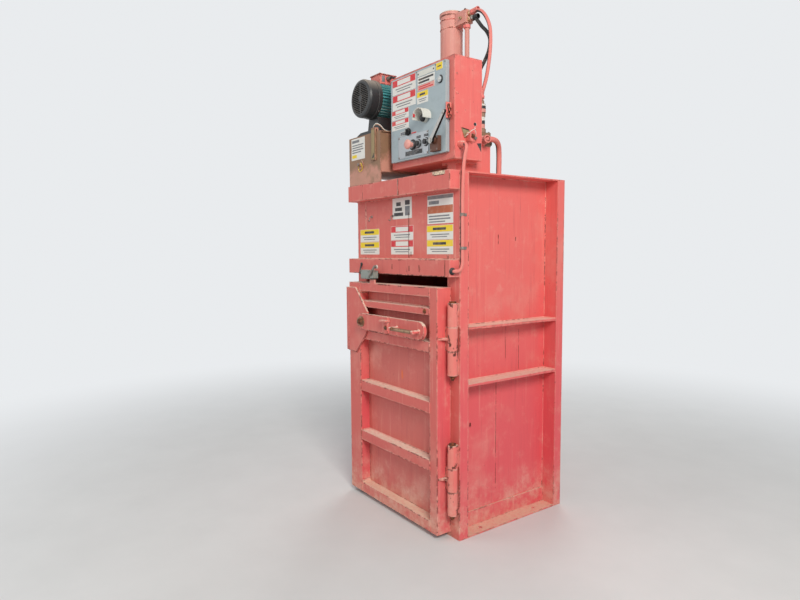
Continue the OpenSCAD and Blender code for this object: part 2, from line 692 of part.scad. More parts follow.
module inner_plate() color(steel) {
    plate_y = cbox_y1 - cbox_t - 12;
    x0 = cbox_x0 + 50;
    z0 = cbox_z0 + 40;
    block([x0, cbox_x1 - 50], [plate_y, plate_y + 3], [z0, cbox_z1 - 40]);
    for (x = [x0 + 20, cbox_x1 - 70]) for (z = [z0 + 20, cbox_z1 - 60])
        rod_y(x, z, plate_y + 3, cbox_y1 - cbox_t, 5);
    block([x0 + 40, x0 + 130], [plate_y - 80, plate_y], [z0 + 230, z0 + 340]);
    block([x0 + 160, x0 + 250], [plate_y - 80, plate_y], [z0 + 230, z0 + 330]);
    block([x0 + 290, x0 + 370], [plate_y - 70, plate_y], [z0 + 210, z0 + 340]);
    for (i = [0 : 9]) block([x0 + 40 + i * 20, x0 + 58 + i * 20], [plate_y - 40, plate_y], [z0 + 60, z0 + 104]);
}

module control_door() color(grey_paint) {
    difference() {
        along_y(cdoor_face, cdoor_back) round_rect([cdoor_x0, cdoor_x1], [cdoor_z0, cdoor_z1], cdoor_r);
        block([cdoor_x0 + cbox_t, cdoor_x1 - cbox_t], [cdoor_face + cbox_t, cdoor_back + eps],
            [cdoor_z0 + cbox_t, cdoor_z1 - cbox_t]);
        rod_y(lock_x, lock_z, cdoor_face - eps, cdoor_face + cbox_t + eps, 11 + run_gap);
        rod_y(selector_x, selector_z, cdoor_face - eps, cdoor_face + cbox_t + eps, 9 + run_gap);
    }
    for (z = butt_feet) difference() {
        butt(z + butt_h / 3, butt_y - 2, butt_y + 2, cdoor_x0);
        translate([butt_x, butt_y, z]) cylinder(r = butt_pin_r + run_gap, h = butt_h);
    }
}

module button_plate() color(steel) {
    difference() {
        block([pad_x0, pad_x1], [pad_face, cdoor_face], [pad_z0, pad_z1]);
        rod_y(selector_x, selector_z, pad_face - eps, cdoor_face + eps, 17);
    }
    for (x = [estop_x, start_x, return_x]) difference() {
        rod_y(x, button_z, pad_face - 8, pad_face, button_r + 5);
        rod_y(x, button_z, pad_face - 9, pad_face - 0.5, button_r + button_gap);
    }
    block([pad_x0 + 60, pad_x1 - 40], [pad_face - 1.5, pad_face], [pad_z0 + 6, pad_z0 + 34]);
}

module estop_button() color(dark_red) {
    rod_y(estop_x, button_z, pad_face - 26, pad_face - 7, button_r);
    translate([estop_x, pad_face - 26, button_z]) rotate([90, 0, 0]) rotate_extrude() polygon([
        [0, 0], [22, 0], [25, 4], [25, 10], [21, 15], [12, 18], [0, 19]]);
}

module push_button(x) rod_y(x, button_z, pad_face - 16, pad_face - 7, button_r);

module start_button() color(black) push_button(start_x);

module return_button() color(black) push_button(return_x);

module selector_knob() color(black) {
    rod_y(selector_x, selector_z, cdoor_face - 10, cdoor_face + 14, 9);
    rod_y(selector_x, selector_z, cdoor_face - 10, cdoor_face - 0.5, 15);
    block([selector_x - 4, selector_x + 4], [cdoor_face - 22, cdoor_face - 10], [selector_z - 15, selector_z + 15]);
}

module key_lock() color(steel) {
    rod_y(lock_x, lock_z, cdoor_face - 8, cdoor_face - 0.5, 15);
    rod_y(lock_x, lock_z, cdoor_face - 8, cdoor_face + 15, 11);
    block([lock_x - 7, lock_x + 7], [cdoor_face + 10, cdoor_face + 14], [lock_z - 12, lock_z + 34]);
}

module indicator_hood() color([0.85, 0.85, 0.82]) {
    hood_x = cdoor_x0 + 303;
    hood_z = cdoor_z0 + 187;
    along_y(cdoor_face - 52, cdoor_face) translate([hood_x, hood_z]) difference() {
        circle(r = 45);
        circle(r = 41);
        translate([-60, -60]) square([120, 52]);
    }
    rod_y(hood_x, hood_z - 2, cdoor_face - 16, cdoor_face, 20);
}

module disconnect_base() color([0.36, 0.22, 0.16]) difference() {
    union() {
        block([throw_x - 32, throw_x + 30], [cdoor_face - 22, cdoor_face], [throw_z - 50, throw_z + 22]);
        rod_y(throw_x, throw_z, cdoor_face - 32, cdoor_face, 17);
    }
    rod_y(throw_x, throw_z, cdoor_face - 33, cdoor_face - 8, 9 + run_gap);
}

module disconnect_lever() color(steel) translate([throw_x, 0, throw_z]) rotate([0, 40, 0]) {
    rod_y(0, 0, cdoor_face - 48, cdoor_face - 9, 9);
    along_y(cdoor_face - 46, cdoor_face - 34) difference() {
        union() {
            circle(r = 16);
            polygon([[-11, 0], [11, 0], [8, throw_len - 8], [-8, throw_len - 8]]);
            translate([0, throw_len - 8]) circle(r = 8);
        }
        translate([0, throw_len - 20]) circle(r = 3);
    }
}

module contact_blocks() color(black) {
    back = cdoor_face + cbox_t;
    for (x = [estop_x, start_x, return_x]) block([x - 20, x + 20], [back, back + 46], [button_z - 20, button_z + 20]);
    block([throw_x - 40, throw_x + 34], [back, back + 60], [throw_z - 34, throw_z + 34]);
}

module valve_stack() color(dusty) translate([cpost_x1 - 32, cbox_y1 + 82, cpost_top]) {
    translate([-32, -38, 0]) cube([64, 76, 70]);
    translate([0, 0, 70]) hex_nut(26, 22);
    translate([0, 0, 92]) cylinder(r = 20, h = 60);
    translate([0, 0, 152]) hex_nut(23, 20);
    translate([0, 0, 172]) cylinder(r = 24, h = 44);
    translate([0, 0, 216]) hex_nut(17, 18);
    translate([0, 0, 234]) cylinder(r = 12, h = 14);
}

module cap_hoses() color(black) {
    tube(cap_hose_black, cap_hose_r, 10);
    tube(cap_hose_red, cap_hose_r, 10);
}

module rod_hose() color(red) tube(rod_hose_route, rod_hose_r, 10);

module power_hoses() color(black) {
    tube(pressure_route, power_hose_r, 10);
    tube(return_route, power_hose_r, 10);
}

module conduit() color(red) tube(conduit_route, conduit_r, 12);

// The limit switch over the door

module limit_switch() color([0.42, 0.46, 0.43]) difference() {
    union() {
        block([-268, -180], [y_front - beam_out - 42, y_front - beam_out], [lower_beam_z - 28, lower_beam_z + 22]);
        block([-180, -146], [y_front - beam_out - 38, y_front - beam_out - 4], [lower_beam_z - 24, lower_beam_z + 18]);
    }
    rod_y(-164, lower_beam_z - 3, y_front - beam_out - 50, y_front - beam_out - 10, 5 + run_gap);
}

module switch_arm() color(black) translate([-164, y_front - beam_out, lower_beam_z - 3]) rotate([0, 45, 0]) {
    rod_y(0, 0, -52, -12, 5);
    along_y(-50, -45) {
        circle(r = 9);
        polygon([[-7, 0], [7, 0], [5, 62], [-5, 62]]);
        translate([0, 62]) circle(r = 6);
    }
    rod_y(0, 62, -45, -36, 9);
}

// The chamber door

module stile(x0, x1) difference() {
    block([x0, x1], [door_face, door_back], [door_z, door_top]);
    block([x0 + wall_t, x1 - wall_t], [door_face + wall_t, door_back - wall_t], [door_z - eps, door_top - wall_t]);
}

module door_stiles() color(red) difference() {
    union() {
        stile(door_left, win_x0);
        stile(win_x1, door_right);
    }
    block([win_x0 - wall_t - eps, win_x0 + eps], [tongue_y0 - tongue_room, tongue_y1 + tongue_room],
        [latch_z - 104, latch_z + 24]);
    block([door_left - eps, door_left + wall_t + eps], [tongue_y0 - tongue_room, tongue_y1 + tongue_room],
        [latch_z - 92, latch_z + 24]);
}

module corner_fillet() difference() {
    square([window_r, window_r]);
    translate([window_r, window_r]) circle(r = window_r, $fn = 32);
}

module door_rails() color(red) {
    block([win_x0, win_x1], [door_face, door_back], [win_z1, door_top]);
    block([win_x0, win_x1], [door_face, door_back], [door_z, win_z0]);
    along_y(door_face, door_sheet_y) {
        translate([win_x0, win_z0]) corner_fillet();
        translate([win_x1, win_z0]) mirror([1, 0]) corner_fillet();
        translate([win_x0, win_z1]) mirror([0, 1]) corner_fillet();
        translate([win_x1, win_z1]) mirror([1, 0]) mirror([0, 1]) corner_fillet();
    }
    block([-204, -154], [door_face, door_face + 8], [door_top, door_top + 21]);
}

module door_panel() color(red) {
    block([win_x0, win_x1], [door_sheet_y, door_sheet_y + wall_t], [win_z0, win_z1]);
    for (b = bars(win_x0, win_x1)) block(b, [door_sheet_y + wall_t, door_back], [win_z0, win_z1]);
}

module door_ribs() color(red) difference() {
    for (i = [0 : len(door_rib_z) - 1])
        block([win_x0, win_x1], [door_face, door_sheet_y], [door_rib_z[i], door_rib_z[i] + door_rib_h[i]]);
    block([win_x0 - eps, win_x0 + 50], [tongue_y0 - tongue_room, tongue_y1 + tongue_room],
        [door_rib_z[1] - eps, door_rib_z[1] + door_rib_h[1] + eps]);
}

module door_knuckles() color(red) for (z = hinge_feet) {
    z0 = z + knuckle_third;
    z1 = z0 + knuckle_third - knuckle_gap;
    zg = (z0 + z1) / 2;
    knuckle(z0, z1) {
        block([door_right, hinge_x], [hinge_y - 6, hinge_y + 6], [z0, z1]);
        translate([0, 0, zg - 5]) linear_extrude(10) polygon([[door_right, door_face + 6],
            [door_right, hinge_y + 18], [hinge_x - 8, hinge_y + 18], [hinge_x + 20, hinge_y],
            [hinge_x + 14, hinge_y - 16], [hinge_x - 24, hinge_y - 26]]);
    }
}

// The latch

module latch_plate() color(red) difference() {
    union() {
        along_y(door_face - latch_plate_t, door_face) polygon([[door_left + 2, latch_z - 188],
            [door_left + 2, latch_z + 188], [door_left + 82, latch_z + 188], [latch_px + 30, latch_z + 56],
            [latch_px + 52, latch_z], [latch_px + 8, latch_z - 84], [door_left + 84, latch_z - 192]]);
        rod_y(latch_px, latch_z, boss_y0, door_sheet_y, 28);
    }
    rod_y(latch_px, latch_z, door_face - latch_plate_t - eps, door_face + eps, latch_shaft_r + run_gap);
    rod_y(latch_px, latch_z, boss_y0 - eps, door_sheet_y + eps, latch_shaft_r + run_gap);
}

module latch_arm() color(red) {
    strap_x = latch_px + 236;
    grip_x0 = latch_px + 352;
    grip_x1 = latch_px + 540;
    grip_y = arm_face - grip_room - rod_grip_r;
    grip_z = latch_z - 4;
    difference() {
        along_y(arm_face, arm_back) {
            translate([latch_px, latch_z]) circle(r = arm_h / 2);
            translate([latch_px + arm_len, latch_z]) circle(r = arm_h / 2);
            translate([latch_px, latch_z - arm_h / 2]) square([arm_len, arm_h]);
        }
        rod_y(latch_px, latch_z, arm_face - eps, arm_back + eps, latch_shaft_r);
    }
    block([strap_x, strap_x + 34], [arm_face - 6, arm_face], [latch_z - arm_h / 2, latch_z + arm_h / 2]);
    difference() {
        block([strap_x - 12, strap_x + 46], [arm_face - 30, arm_face], [latch_z + 22, latch_z + 30]);
        translate([strap_x + 17, arm_face - 17, latch_z + 20]) cylinder(r = 6, h = 12);
    }
    rod_x(grip_x0 - rod_grip_r, grip_x1 + rod_grip_r, grip_y, grip_z, rod_grip_r);
    for (x = [grip_x0, grip_x1]) rod_y(x, grip_z, grip_y, arm_face, rod_grip_r);
}

module latch_shaft() color(steel) {
    rod_y(latch_px, latch_z, arm_face - 4, door_sheet_y - 1, latch_shaft_r);
    translate([latch_px, arm_face, latch_z]) rotate([90, 0, 0]) cylinder(r = 30, h = 4);
    translate([latch_px, arm_face - 4, latch_z]) rotate([90, 0, 0]) hex_nut(24, 14);
    rod_y(latch_px, latch_z, tongue_y0, tongue_y1, 27);
    block([tongue_tip, latch_px], [tongue_y0, tongue_y1], [latch_z - tongue_h / 2, latch_z + tongue_h / 2]);
}

front_posts();
rear_posts();
side_panel_left();
side_panel_right();
back_panel();
body_ribs();
upper_beam();
lower_beam();
header_panel();
deck_plate();
base_angles();
chamber_floor();
floor_frame();
latch_keeper();
frame_knuckles();
hinge_pins();
cylinder_barrel();
cylinder_flange();
rod_gland();
port_block();
oil_tank();
filler_cap();
motor_body();
fan_cowl();
terminal_box();
motor_base();
pump();
box_posts();
control_box();
inner_plate();
valve_stack();
cap_hoses();
rod_hose();
power_hoses();
conduit();
limit_switch();
ram_rod();
platen();
platen_bars();
door_stiles();
door_rails();
door_panel();
door_ribs();
door_knuckles();
latch_plate();
latch_arm();
latch_shaft();
control_door();
button_plate();
indicator_hood();
disconnect_base();
contact_blocks();
disconnect_lever();
estop_button();
start_button();
return_button();
selector_knob();
key_lock();
motor_fan();
switch_arm();
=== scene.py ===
"""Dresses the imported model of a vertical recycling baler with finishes, signs, hoses, welds and fasteners."""
import math

import bmesh
import bpy
from mathutils import Matrix, Vector


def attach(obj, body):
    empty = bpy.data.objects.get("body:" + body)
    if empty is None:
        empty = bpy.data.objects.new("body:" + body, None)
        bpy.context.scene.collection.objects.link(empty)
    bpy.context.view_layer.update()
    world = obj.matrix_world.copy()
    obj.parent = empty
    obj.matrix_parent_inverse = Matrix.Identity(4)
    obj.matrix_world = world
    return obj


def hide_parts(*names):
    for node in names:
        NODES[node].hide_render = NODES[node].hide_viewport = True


bl_info = {
    "name": "Vertical baler",
    "version": (1, 0, 0),
    "blender": (4, 5, 0),
    "location": "View3D > Sidebar > Baler",
    "description": "Finishes, signs, hoses, welds and fasteners of a vertical baler",
    "category": "Object",
}

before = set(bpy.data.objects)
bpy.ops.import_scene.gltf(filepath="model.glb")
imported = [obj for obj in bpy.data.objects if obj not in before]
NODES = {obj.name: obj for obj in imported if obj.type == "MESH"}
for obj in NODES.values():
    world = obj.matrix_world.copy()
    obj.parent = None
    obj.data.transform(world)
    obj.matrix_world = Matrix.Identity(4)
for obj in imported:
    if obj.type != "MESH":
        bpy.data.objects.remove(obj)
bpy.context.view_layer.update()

# Camera at the photograph's viewing angle, in the part's own frame
CAMERA_PLACE = Vector((2.6384, -2.2840, 1.4444))
CAMERA_HEADING = 0.6191
CAMERA_PITCH = -0.0806
CAMERA_ROLL = -0.0065
CAMERA_FOCAL_PIXELS = 596.64
IMAGE_WIDTH = 800

# Planes of the CAD that signs and trim lie on
HEADER_FACE = -0.380
DOOR_FACE = -0.468
BEAM_FACE = -0.445
BOX_SIDE = 0.424
SIDE_PANEL = 0.380
GREY_DOOR_FACE = -0.401
BUTTON_FACE = -0.404
TANK_FRONT = -0.445
PLATE_FACE = -0.217
SIGN_THICKNESS = 0.0008
PROUD = 0.0003

# Centres that pieces share with the CAD
MOTOR_X, MOTOR_Z = -0.283, 2.305
CYLINDER_Y = -0.037
BUTTON_Z = 1.995
ESTOP_X, START_X, RETURN_X = 0.123, 0.173, 0.235
SELECTOR_X, SELECTOR_Z = 0.082, 2.065
LOCK_X, LOCK_Z = 0.344, 2.276

# Joins of the CAD that weld beads follow
WELD_LIFT = 0.0005
DECK_WELD_Z = 1.8305
WALL_WELD_X = 0.3785
SHELVES = ((1.072, 1.060), (0.786, 0.774))
WALL_ENDS = (-0.3225, 0.3245)
DOOR_RIBS = ((1.131, 0.035), (0.944, 0.054), (0.637, 0.058), (0.342, 0.055))
DOOR_BAY = (-0.310, 0.339)
KNUCKLE_FEET = (0.136, 0.840)
HINGE_LENGTH = 0.356
LATCH_PLATE = [(-0.426, 0.862), (-0.426, 1.238), (-0.346, 1.238), (-0.220, 1.106), (-0.198, 1.050),
               (-0.242, 0.966), (-0.344, 0.858), (-0.426, 0.862)]

# Light and surroundings
PALE = (0.86, 0.88, 0.90, 1.0)
PALE_STRENGTH = 0.95
SKY_LIGHT = (0.90, 0.95, 1.0, 1.0)
SKY_STRENGTH = 0.36
FLOOR_REACH = 30.0
# Lamps: name, place, what it is turned to, size, power and colour
LAMPS = [
    ("key_lamp", (5.4, -2.6, 4.8), (0.2, -0.2, 1.3), 2.2, 350.0, (1.0, 0.97, 0.92)),
    ("front_lamp", (-2.2, -5.5, 3.2), (0.0, -0.2, 1.2), 3.2, 80.0, (1.0, 1.0, 1.0)),
    ("rear_lamp", (-3.5, 4.5, 4.5), (0.0, 0.0, 1.2), 3.0, 120.0, (1.0, 1.0, 1.0))]

# How sharp an edge has to be, in degrees, before its shading breaks
SHARP_EDGE = 38.0
SHARP_HEAD = 30.0

# Angles of the four bolts round a flange
QUARTER_TURNS = [math.pi / 4 + k * math.pi / 2 for k in range(4)]


def linear(hex_colour):
    """A colour written as on a paint chart, as the linear colour that the shaders take."""
    parts = [int(hex_colour[i:i + 2], 16) / 255 for i in (1, 3, 5)]
    return tuple(c / 12.92 if c <= 0.04045 else ((c + 0.055) / 1.055) ** 2.4 for c in parts) + (1.0,)


def colour_property(name, description, default):
    """A colour that a user can change."""
    return bpy.props.FloatVectorProperty(name=name, description=description, subtype="COLOR", size=4,
                                         min=0.0, max=1.0, default=linear(default))


def length_property(name, description, default):
    """A length in metres that a user can change."""
    return bpy.props.FloatProperty(name=name, description=description, default=default, min=0.0, unit="LENGTH")


class BalerPaint(bpy.types.PropertyGroup):
    """Colours of the machine's finishes"""

    # Front and side paint are partly painted light: the side faces are brighter and redder where light falls on
    # them, the front faces duller where it only grazes them; the rest is sun bleaching of the front.
    front: colour_property("Front paint", "Sun-bleached coral of the front faces", "#CB645A")
    side: colour_property("Side paint", "Coral of the faces turned away from the sun", "#E36C66")
    low: colour_property("Low paint", "Deeper red of the sheltered lower faces", "#DC575D")
    # The chamber colour is a darker red: partly scuffed paint, partly painted shade of the chamber's inside.
    chamber: colour_property("Chamber paint", "Scuffed paint inside the press chamber", "#8C4644")
    dust: colour_property("Dust", "Pale dust that lies on level faces", "#E3D0BC")
    rust: colour_property("Rust", "Brown of chips and stains", "#452116")
    grey: colour_property("Door enamel", "Pale enamel of the control door", "#9EABB0")
    tank: colour_property("Tank paint", "Oily tan of the tank", "#8C6A50")
    teal: colour_property("Motor enamel", "Teal of the finned motor", "#4AA3A7")
    black: colour_property("Black enamel", "Cowl and motor base", "#292B2D")
    wear: bpy.props.FloatProperty(name="Wear", description="How far the paint is chipped along its edges",
                                  default=1.0, min=0.0, max=2.0, subtype="FACTOR")


class BalerSigns(bpy.types.PropertyGroup):
    """Colours of the blank signs"""

    white: colour_property("Sign white", "Weathered white of the signs", "#DEDCD6")
    yellow: colour_property("Sign yellow", "Bands of the caution colour", "#E8C818")
    red: colour_property("Sign red", "Bands of the danger colour", "#CE2A34")
    orange: colour_property("Sign orange", "Faded band of the warning colour", "#B05A34")
    ink: colour_property("Ink", "Grey bars that stand for lines of print", "#6E7176")


class BalerTrim(bpy.types.PropertyGroup):
    """Sizes of the welds, fasteners and hoses"""

    weld_radius: length_property("Weld radius", "Half the width of a weld bead", 0.0034)
    weld_ripple: length_property("Weld ripple", "Distance between two ripples of a bead", 0.0055)
    screw_radius: length_property("Screw radius", "Head of a sheet metal screw", 0.0042)
    bolt_radius: length_property("Bolt radius", "Across the corners of a hexagon head", 0.010)
    hose_radius: length_property("Hose radius", "Hydraulic hose to the cylinder's cap end", 0.0095)
    wire_radius: length_property("Wire radius", "Control wire behind the grey door", 0.0017)


class Value:
    """A number that varies from place to place. Arithmetic on it adds Math nodes."""

    def __init__(self, graph, socket):
        self.graph = graph
        self.socket = socket

    def math(self, operation, other=None, swap=False, clamp=False):
        """Adds one Math node, with this value as its first input unless they are swapped."""
        pair = (other, self) if swap else (self, other)
        inputs = {i: v for i, v in enumerate(pair) if v is not None}
        settings = {"operation": operation, "use_clamp": clamp}
        return self.graph.node("ShaderNodeMath", settings, inputs, "Value")

    def __add__(self, other):
        return self.math("ADD", other)

    def __radd__(self, other):
        return self.math("ADD", other, swap=True)

    def __sub__(self, other):
        return self.math("SUBTRACT", other)

    def __rsub__(self, other):
        return self.math("SUBTRACT", other, swap=True)

    def __mul__(self, other):
        return self.math("MULTIPLY", other)

    def __rmul__(self, other):
        return self.math("MULTIPLY", other, swap=True)

    def larger(self, other):
        return self.math("MAXIMUM", other)

    def clamped(self):
        return self.math("ADD", 0.0, clamp=True)

    def rise(self, low, high):
        """0 below low, 1 above high, with a smooth step between."""
        return self.graph.node("ShaderNodeMapRange", {"interpolation_type": "SMOOTHSTEP"},
                               {"Value": self, "From Min": low, "From Max": high}, "Result")

    def fall(self, low, high):
        """1 below low, 0 above high."""
        return 1 - self.rise(low, high)


class Graph:
    """A node tree under construction."""

    def __init__(self, tree):
        self.tree = tree

    def plug(self, socket, value):
        """Links a value or socket to an input, several to a shared one, or writes a plain number or colour."""
        for part in value if isinstance(value, list) else [value]:
            if isinstance(part, Value):
                self.tree.links.new(part.socket, socket)
            elif isinstance(part, bpy.types.NodeSocket):
                self.tree.links.new(part, socket)
            else:
                socket.default_value = part

    def node(self, kind, settings, inputs, output=0):
        """Adds a node, sets it up and returns one of its outputs."""
        made = self.tree.nodes.new(kind)
        for key, value in settings.items():
            setattr(made, key, value)
        for key, value in inputs.items():
            self.plug(made.inputs[key], value)
        return Value(self, made.outputs[output])


class Finish(Graph):
    """A material under construction around one Principled shader."""

    def __init__(self, name):
        self.material = bpy.data.materials.new(name)
        self.material.use_nodes = True
        super().__init__(self.material.node_tree)
        self.tree.nodes.clear()
        self.shader = self.tree.nodes.new("ShaderNodeBsdfPrincipled")
        self.output = self.tree.nodes.new("ShaderNodeOutputMaterial")
        self.tree.links.new(self.shader.outputs[0], self.output.inputs["Surface"])
        self.coords = self.tree.nodes.new("ShaderNodeTexCoord")
        self.place = self.coords.outputs["Object"]

    def stretched(self, scale):
        """The part's own coordinates, scaled each way."""
        return self.node("ShaderNodeMapping", {}, {"Vector": self.place, "Scale": scale}, "Vector")

    def noise(self, scale, detail=4.0, roughness=0.6, stretch=None):
        """Cloudy noise around 0.5; a stretch draws it out into runs."""
        vector = self.place if stretch is None else self.stretched(stretch)
        return self.node("ShaderNodeTexNoise", {}, {"Vector": vector, "Scale": scale, "Detail": detail,
                                                    "Roughness": roughness}, 0)

    def cells(self, scale):
        """Distance to the nearest of scattered points, for specks and pits."""
        return self.node("ShaderNodeTexVoronoi", {}, {"Vector": self.place, "Scale": scale}, "Distance")

    def axis(self, name):
        """One of the part's own coordinates, in metres."""
        return self.node("ShaderNodeSeparateXYZ", {}, {0: self.place}, name)

    def facing(self, name):
        """One part of the surface's direction in the part's own frame."""
        return self.node("ShaderNodeSeparateXYZ", {}, {0: self.coords.outputs["Normal"]}, name)

    def edge(self, radius):
        """0 on a flat stretch, towards 1 on an outer or inner edge."""
        rounded = self.node("ShaderNodeBevel", {"samples": 5}, {"Radius": radius}, "Normal")
        flat = self.node("ShaderNodeNewGeometry", {}, {}, "Normal")
        together = self.node("ShaderNodeVectorMath", {"operation": "DOT_PRODUCT"}, {0: rounded, 1: flat}, "Value")
        return ((1 - together) * 5.0).clamped()

    def mix(self, first, second, mask):
        """The first colour where the mask is 0, the second where it is 1."""
        return self.node("ShaderNodeMix", {"data_type": "RGBA"}, {0: mask, 6: first, 7: second}, 2)

    def bump(self, height, strength=0.3, distance=0.001, soft_edge=None):
        """Surface relief in metres, over edges that are rounded by soft_edge."""
        inputs = {"Height": height, "Strength": strength, "Distance": distance}
        if soft_edge:
            inputs["Normal"] = self.node("ShaderNodeBevel", {"samples": 5}, {"Radius": soft_edge}, "Normal")
        return self.node("ShaderNodeBump", {}, inputs, "Normal")

    def done(self, **inputs):
        """Feeds the shader and returns the material."""
        for key, value in inputs.items():
            self.plug(self.shader.inputs[key.replace("_", " ")], value)
        return self.material


def blended(first, second, share):
    """Two plain colours in one, with this share of the first."""
    return tuple(share * a + (1 - share) * b for a, b in zip(first, second))


def shaded(colour, factor):
    """A plain colour, darker or paler by a factor."""
    return tuple(factor * c for c in colour[:3]) + (1.0,)


class OldPaint(Finish):
    """Old paint under construction: the patterns that its layers share, and what lies on it."""

    def __init__(self, name):
        super().__init__(name)
        self.paint = bpy.context.scene.baler_paint
        self.height = self.axis("Z")
        self.broad = self.noise(2.2, 5.0, 0.62)
        self.mottle = self.noise(14.0, 6.0, 0.7)
        self.run = self.noise(5.0, 5.0, 0.66, stretch=(9.0, 9.0, 0.35))
        self.patches = self.noise(38.0, 6.0, 0.72)

    def base(self, front, side, low):
        """Paler and duller on faces turned to the front, deeper towards the floor. The front and side split is
        partly sun bleaching and partly painted light: brighter, redder side faces and duller front faces.
        """
        # Painted light and bleaching: faces turned to the front take the duller front colour
        front_fade_and_shade = self.facing("Y").fall(-0.8, -0.2) * self.axis("Y").fall(-0.30, -0.22)
        colour = self.mix(low, side, (self.height + (self.broad - 0.5) * 0.9).rise(0.35, 1.55))
        return self.mix(colour, front, (front_fade_and_shade * 0.85 + (self.broad - 0.5) * 0.5).clamped())

    def streaked(self, colour, side, low, streaks):
        """Chalked in patches, with pale and dark runs down its faces."""
        chalk, deep = blended(side, self.paint.dust, 0.5), shaded(low, 0.55)
        thin_run = self.noise(9.0, 4.0, 0.6, stretch=(16.0, 16.0, 0.5))
        for layer, mask in ((chalk, self.mottle.rise(0.52, 0.78) * 0.32),
                            (chalk, self.broad.rise(0.50, 0.72) * (0.30 * streaks)),
                            (deep, self.run.rise(0.54, 0.80) * (0.42 * streaks)),
                            (chalk, self.run.fall(0.24, 0.44) * (0.40 * streaks)),
                            (deep, thin_run.rise(0.62, 0.74) * (0.34 * streaks))):
            colour = self.mix(colour, layer, mask)
        return colour

    def rust_mark(self, colour, middle, foot, head, half_width):
        """One orange mark where rust has bled through."""
        offset = self.axis("X") - middle + (self.mottle - 0.5) * 0.012
        mark = ((offset * offset).fall(0.05 * half_width ** 2, half_width ** 2)
                * self.height.rise(foot, foot + 0.025) * self.height.fall(head - 0.025, head))
        return self.mix(colour, linear("#DC6B3D"), (mark * (0.35 + self.run)).clamped() * 0.9)

    def settled_dust(self, dust):
        """How much dust lies on level faces and near the floor."""
        up = self.facing("Z").rise(0.35, 0.85)
        splashed = self.height.fall(0.0, 0.30) * self.mottle.rise(0.34, 0.64)
        settled = ((up * (1.50 + (self.broad - 0.5) * 0.7 + (self.mottle - 0.5) * 0.8)).clamped()
                   .larger(splashed * 0.60)) * dust
        grit = self.noise(75.0, 5.0, 0.75)
        return settled * (0.58 + grit.rise(0.34, 0.56) * 0.42)

    def bared(self, edge, rust, flaking):
        """Where the paint is off: chipped edges, pits, specks and flakes."""
        chipped = ((edge.rise(0.02, 0.20) * (self.patches + (self.broad - 0.5) * 0.9)).rise(0.540, 0.590)
                   * (rust * self.paint.wear))
        pits = self.cells(30.0).fall(0.040, 0.085) * self.noise(2.6, 3.0).rise(0.53, 0.60) * rust
        specks = self.cells(85.0).fall(0.05, 0.11) * self.noise(5.0, 4.0).rise(0.55, 0.63) * rust
        flaked = self.noise(19.0, 5.0, 0.66, stretch=(1.0, 1.0, 0.7)).rise(0.575, 0.605) * flaking
        return chipped.larger(pits).larger(specks).larger(flaked).clamped()


def weathered_paint(name, front, side, low, dust=1.0, rust=1.0, streaks=1.0, flaking=0.0, bloom=None):
    """Old coral paint: paler on the front faces, partly by sun bleaching and partly as painted shade, dusty on
    level faces, chipped along its edges.
    Flaking adds patches of rust on open faces, and bloom is the place of one orange rust mark: its middle in X,
    its foot, its head and half its width."""
    finish = OldPaint(name)
    paint, mottle = finish.paint, finish.mottle
    colour = finish.streaked(finish.base(front, side, low), side, low, streaks)
    if bloom is not None:
        colour = finish.rust_mark(colour, *bloom)
    settled = finish.settled_dust(dust)
    soil = finish.mix(linear("#DCBBA2"), paint.dust, (finish.height + (mottle - 0.5) * 0.3).rise(0.02, 0.30))
    colour = finish.mix(colour, soil, settled.clamped())
    edge = finish.edge(0.011)
    rubbed = edge.rise(0.05, 0.50) * (0.25 + mottle.rise(0.40, 0.62) * 0.55)
    colour = finish.mix(colour, linear("#E3B7A4"), rubbed * (0.75 * rust))
    bleeding = finish.noise(7.0, 5.0, 0.7, stretch=(5.0, 5.0, 1.1)).rise(0.64, 0.80) * (0.60 * rust)
    colour = finish.mix(colour, blended(paint.rust, low, 0.6), bleeding * 0.6)
    bare = finish.bared(edge, rust, flaking)
    rusty = finish.mix(paint.rust, linear("#8A4E30"), finish.patches.rise(0.52, 0.74))
    colour = finish.mix(colour, rusty, bare * 0.92)
    rough = (0.50 + settled * 0.32 + mottle * 0.14 + bare * 0.3).clamped()
    relief = finish.noise(160.0, 3.0, 0.6) * 0.12 + mottle * 0.4 - bare * 0.9
    return finish.done(Base_Color=colour, Roughness=rough,
                       Normal=finish.bump(relief, 0.35, 0.0008, soft_edge=0.0022))


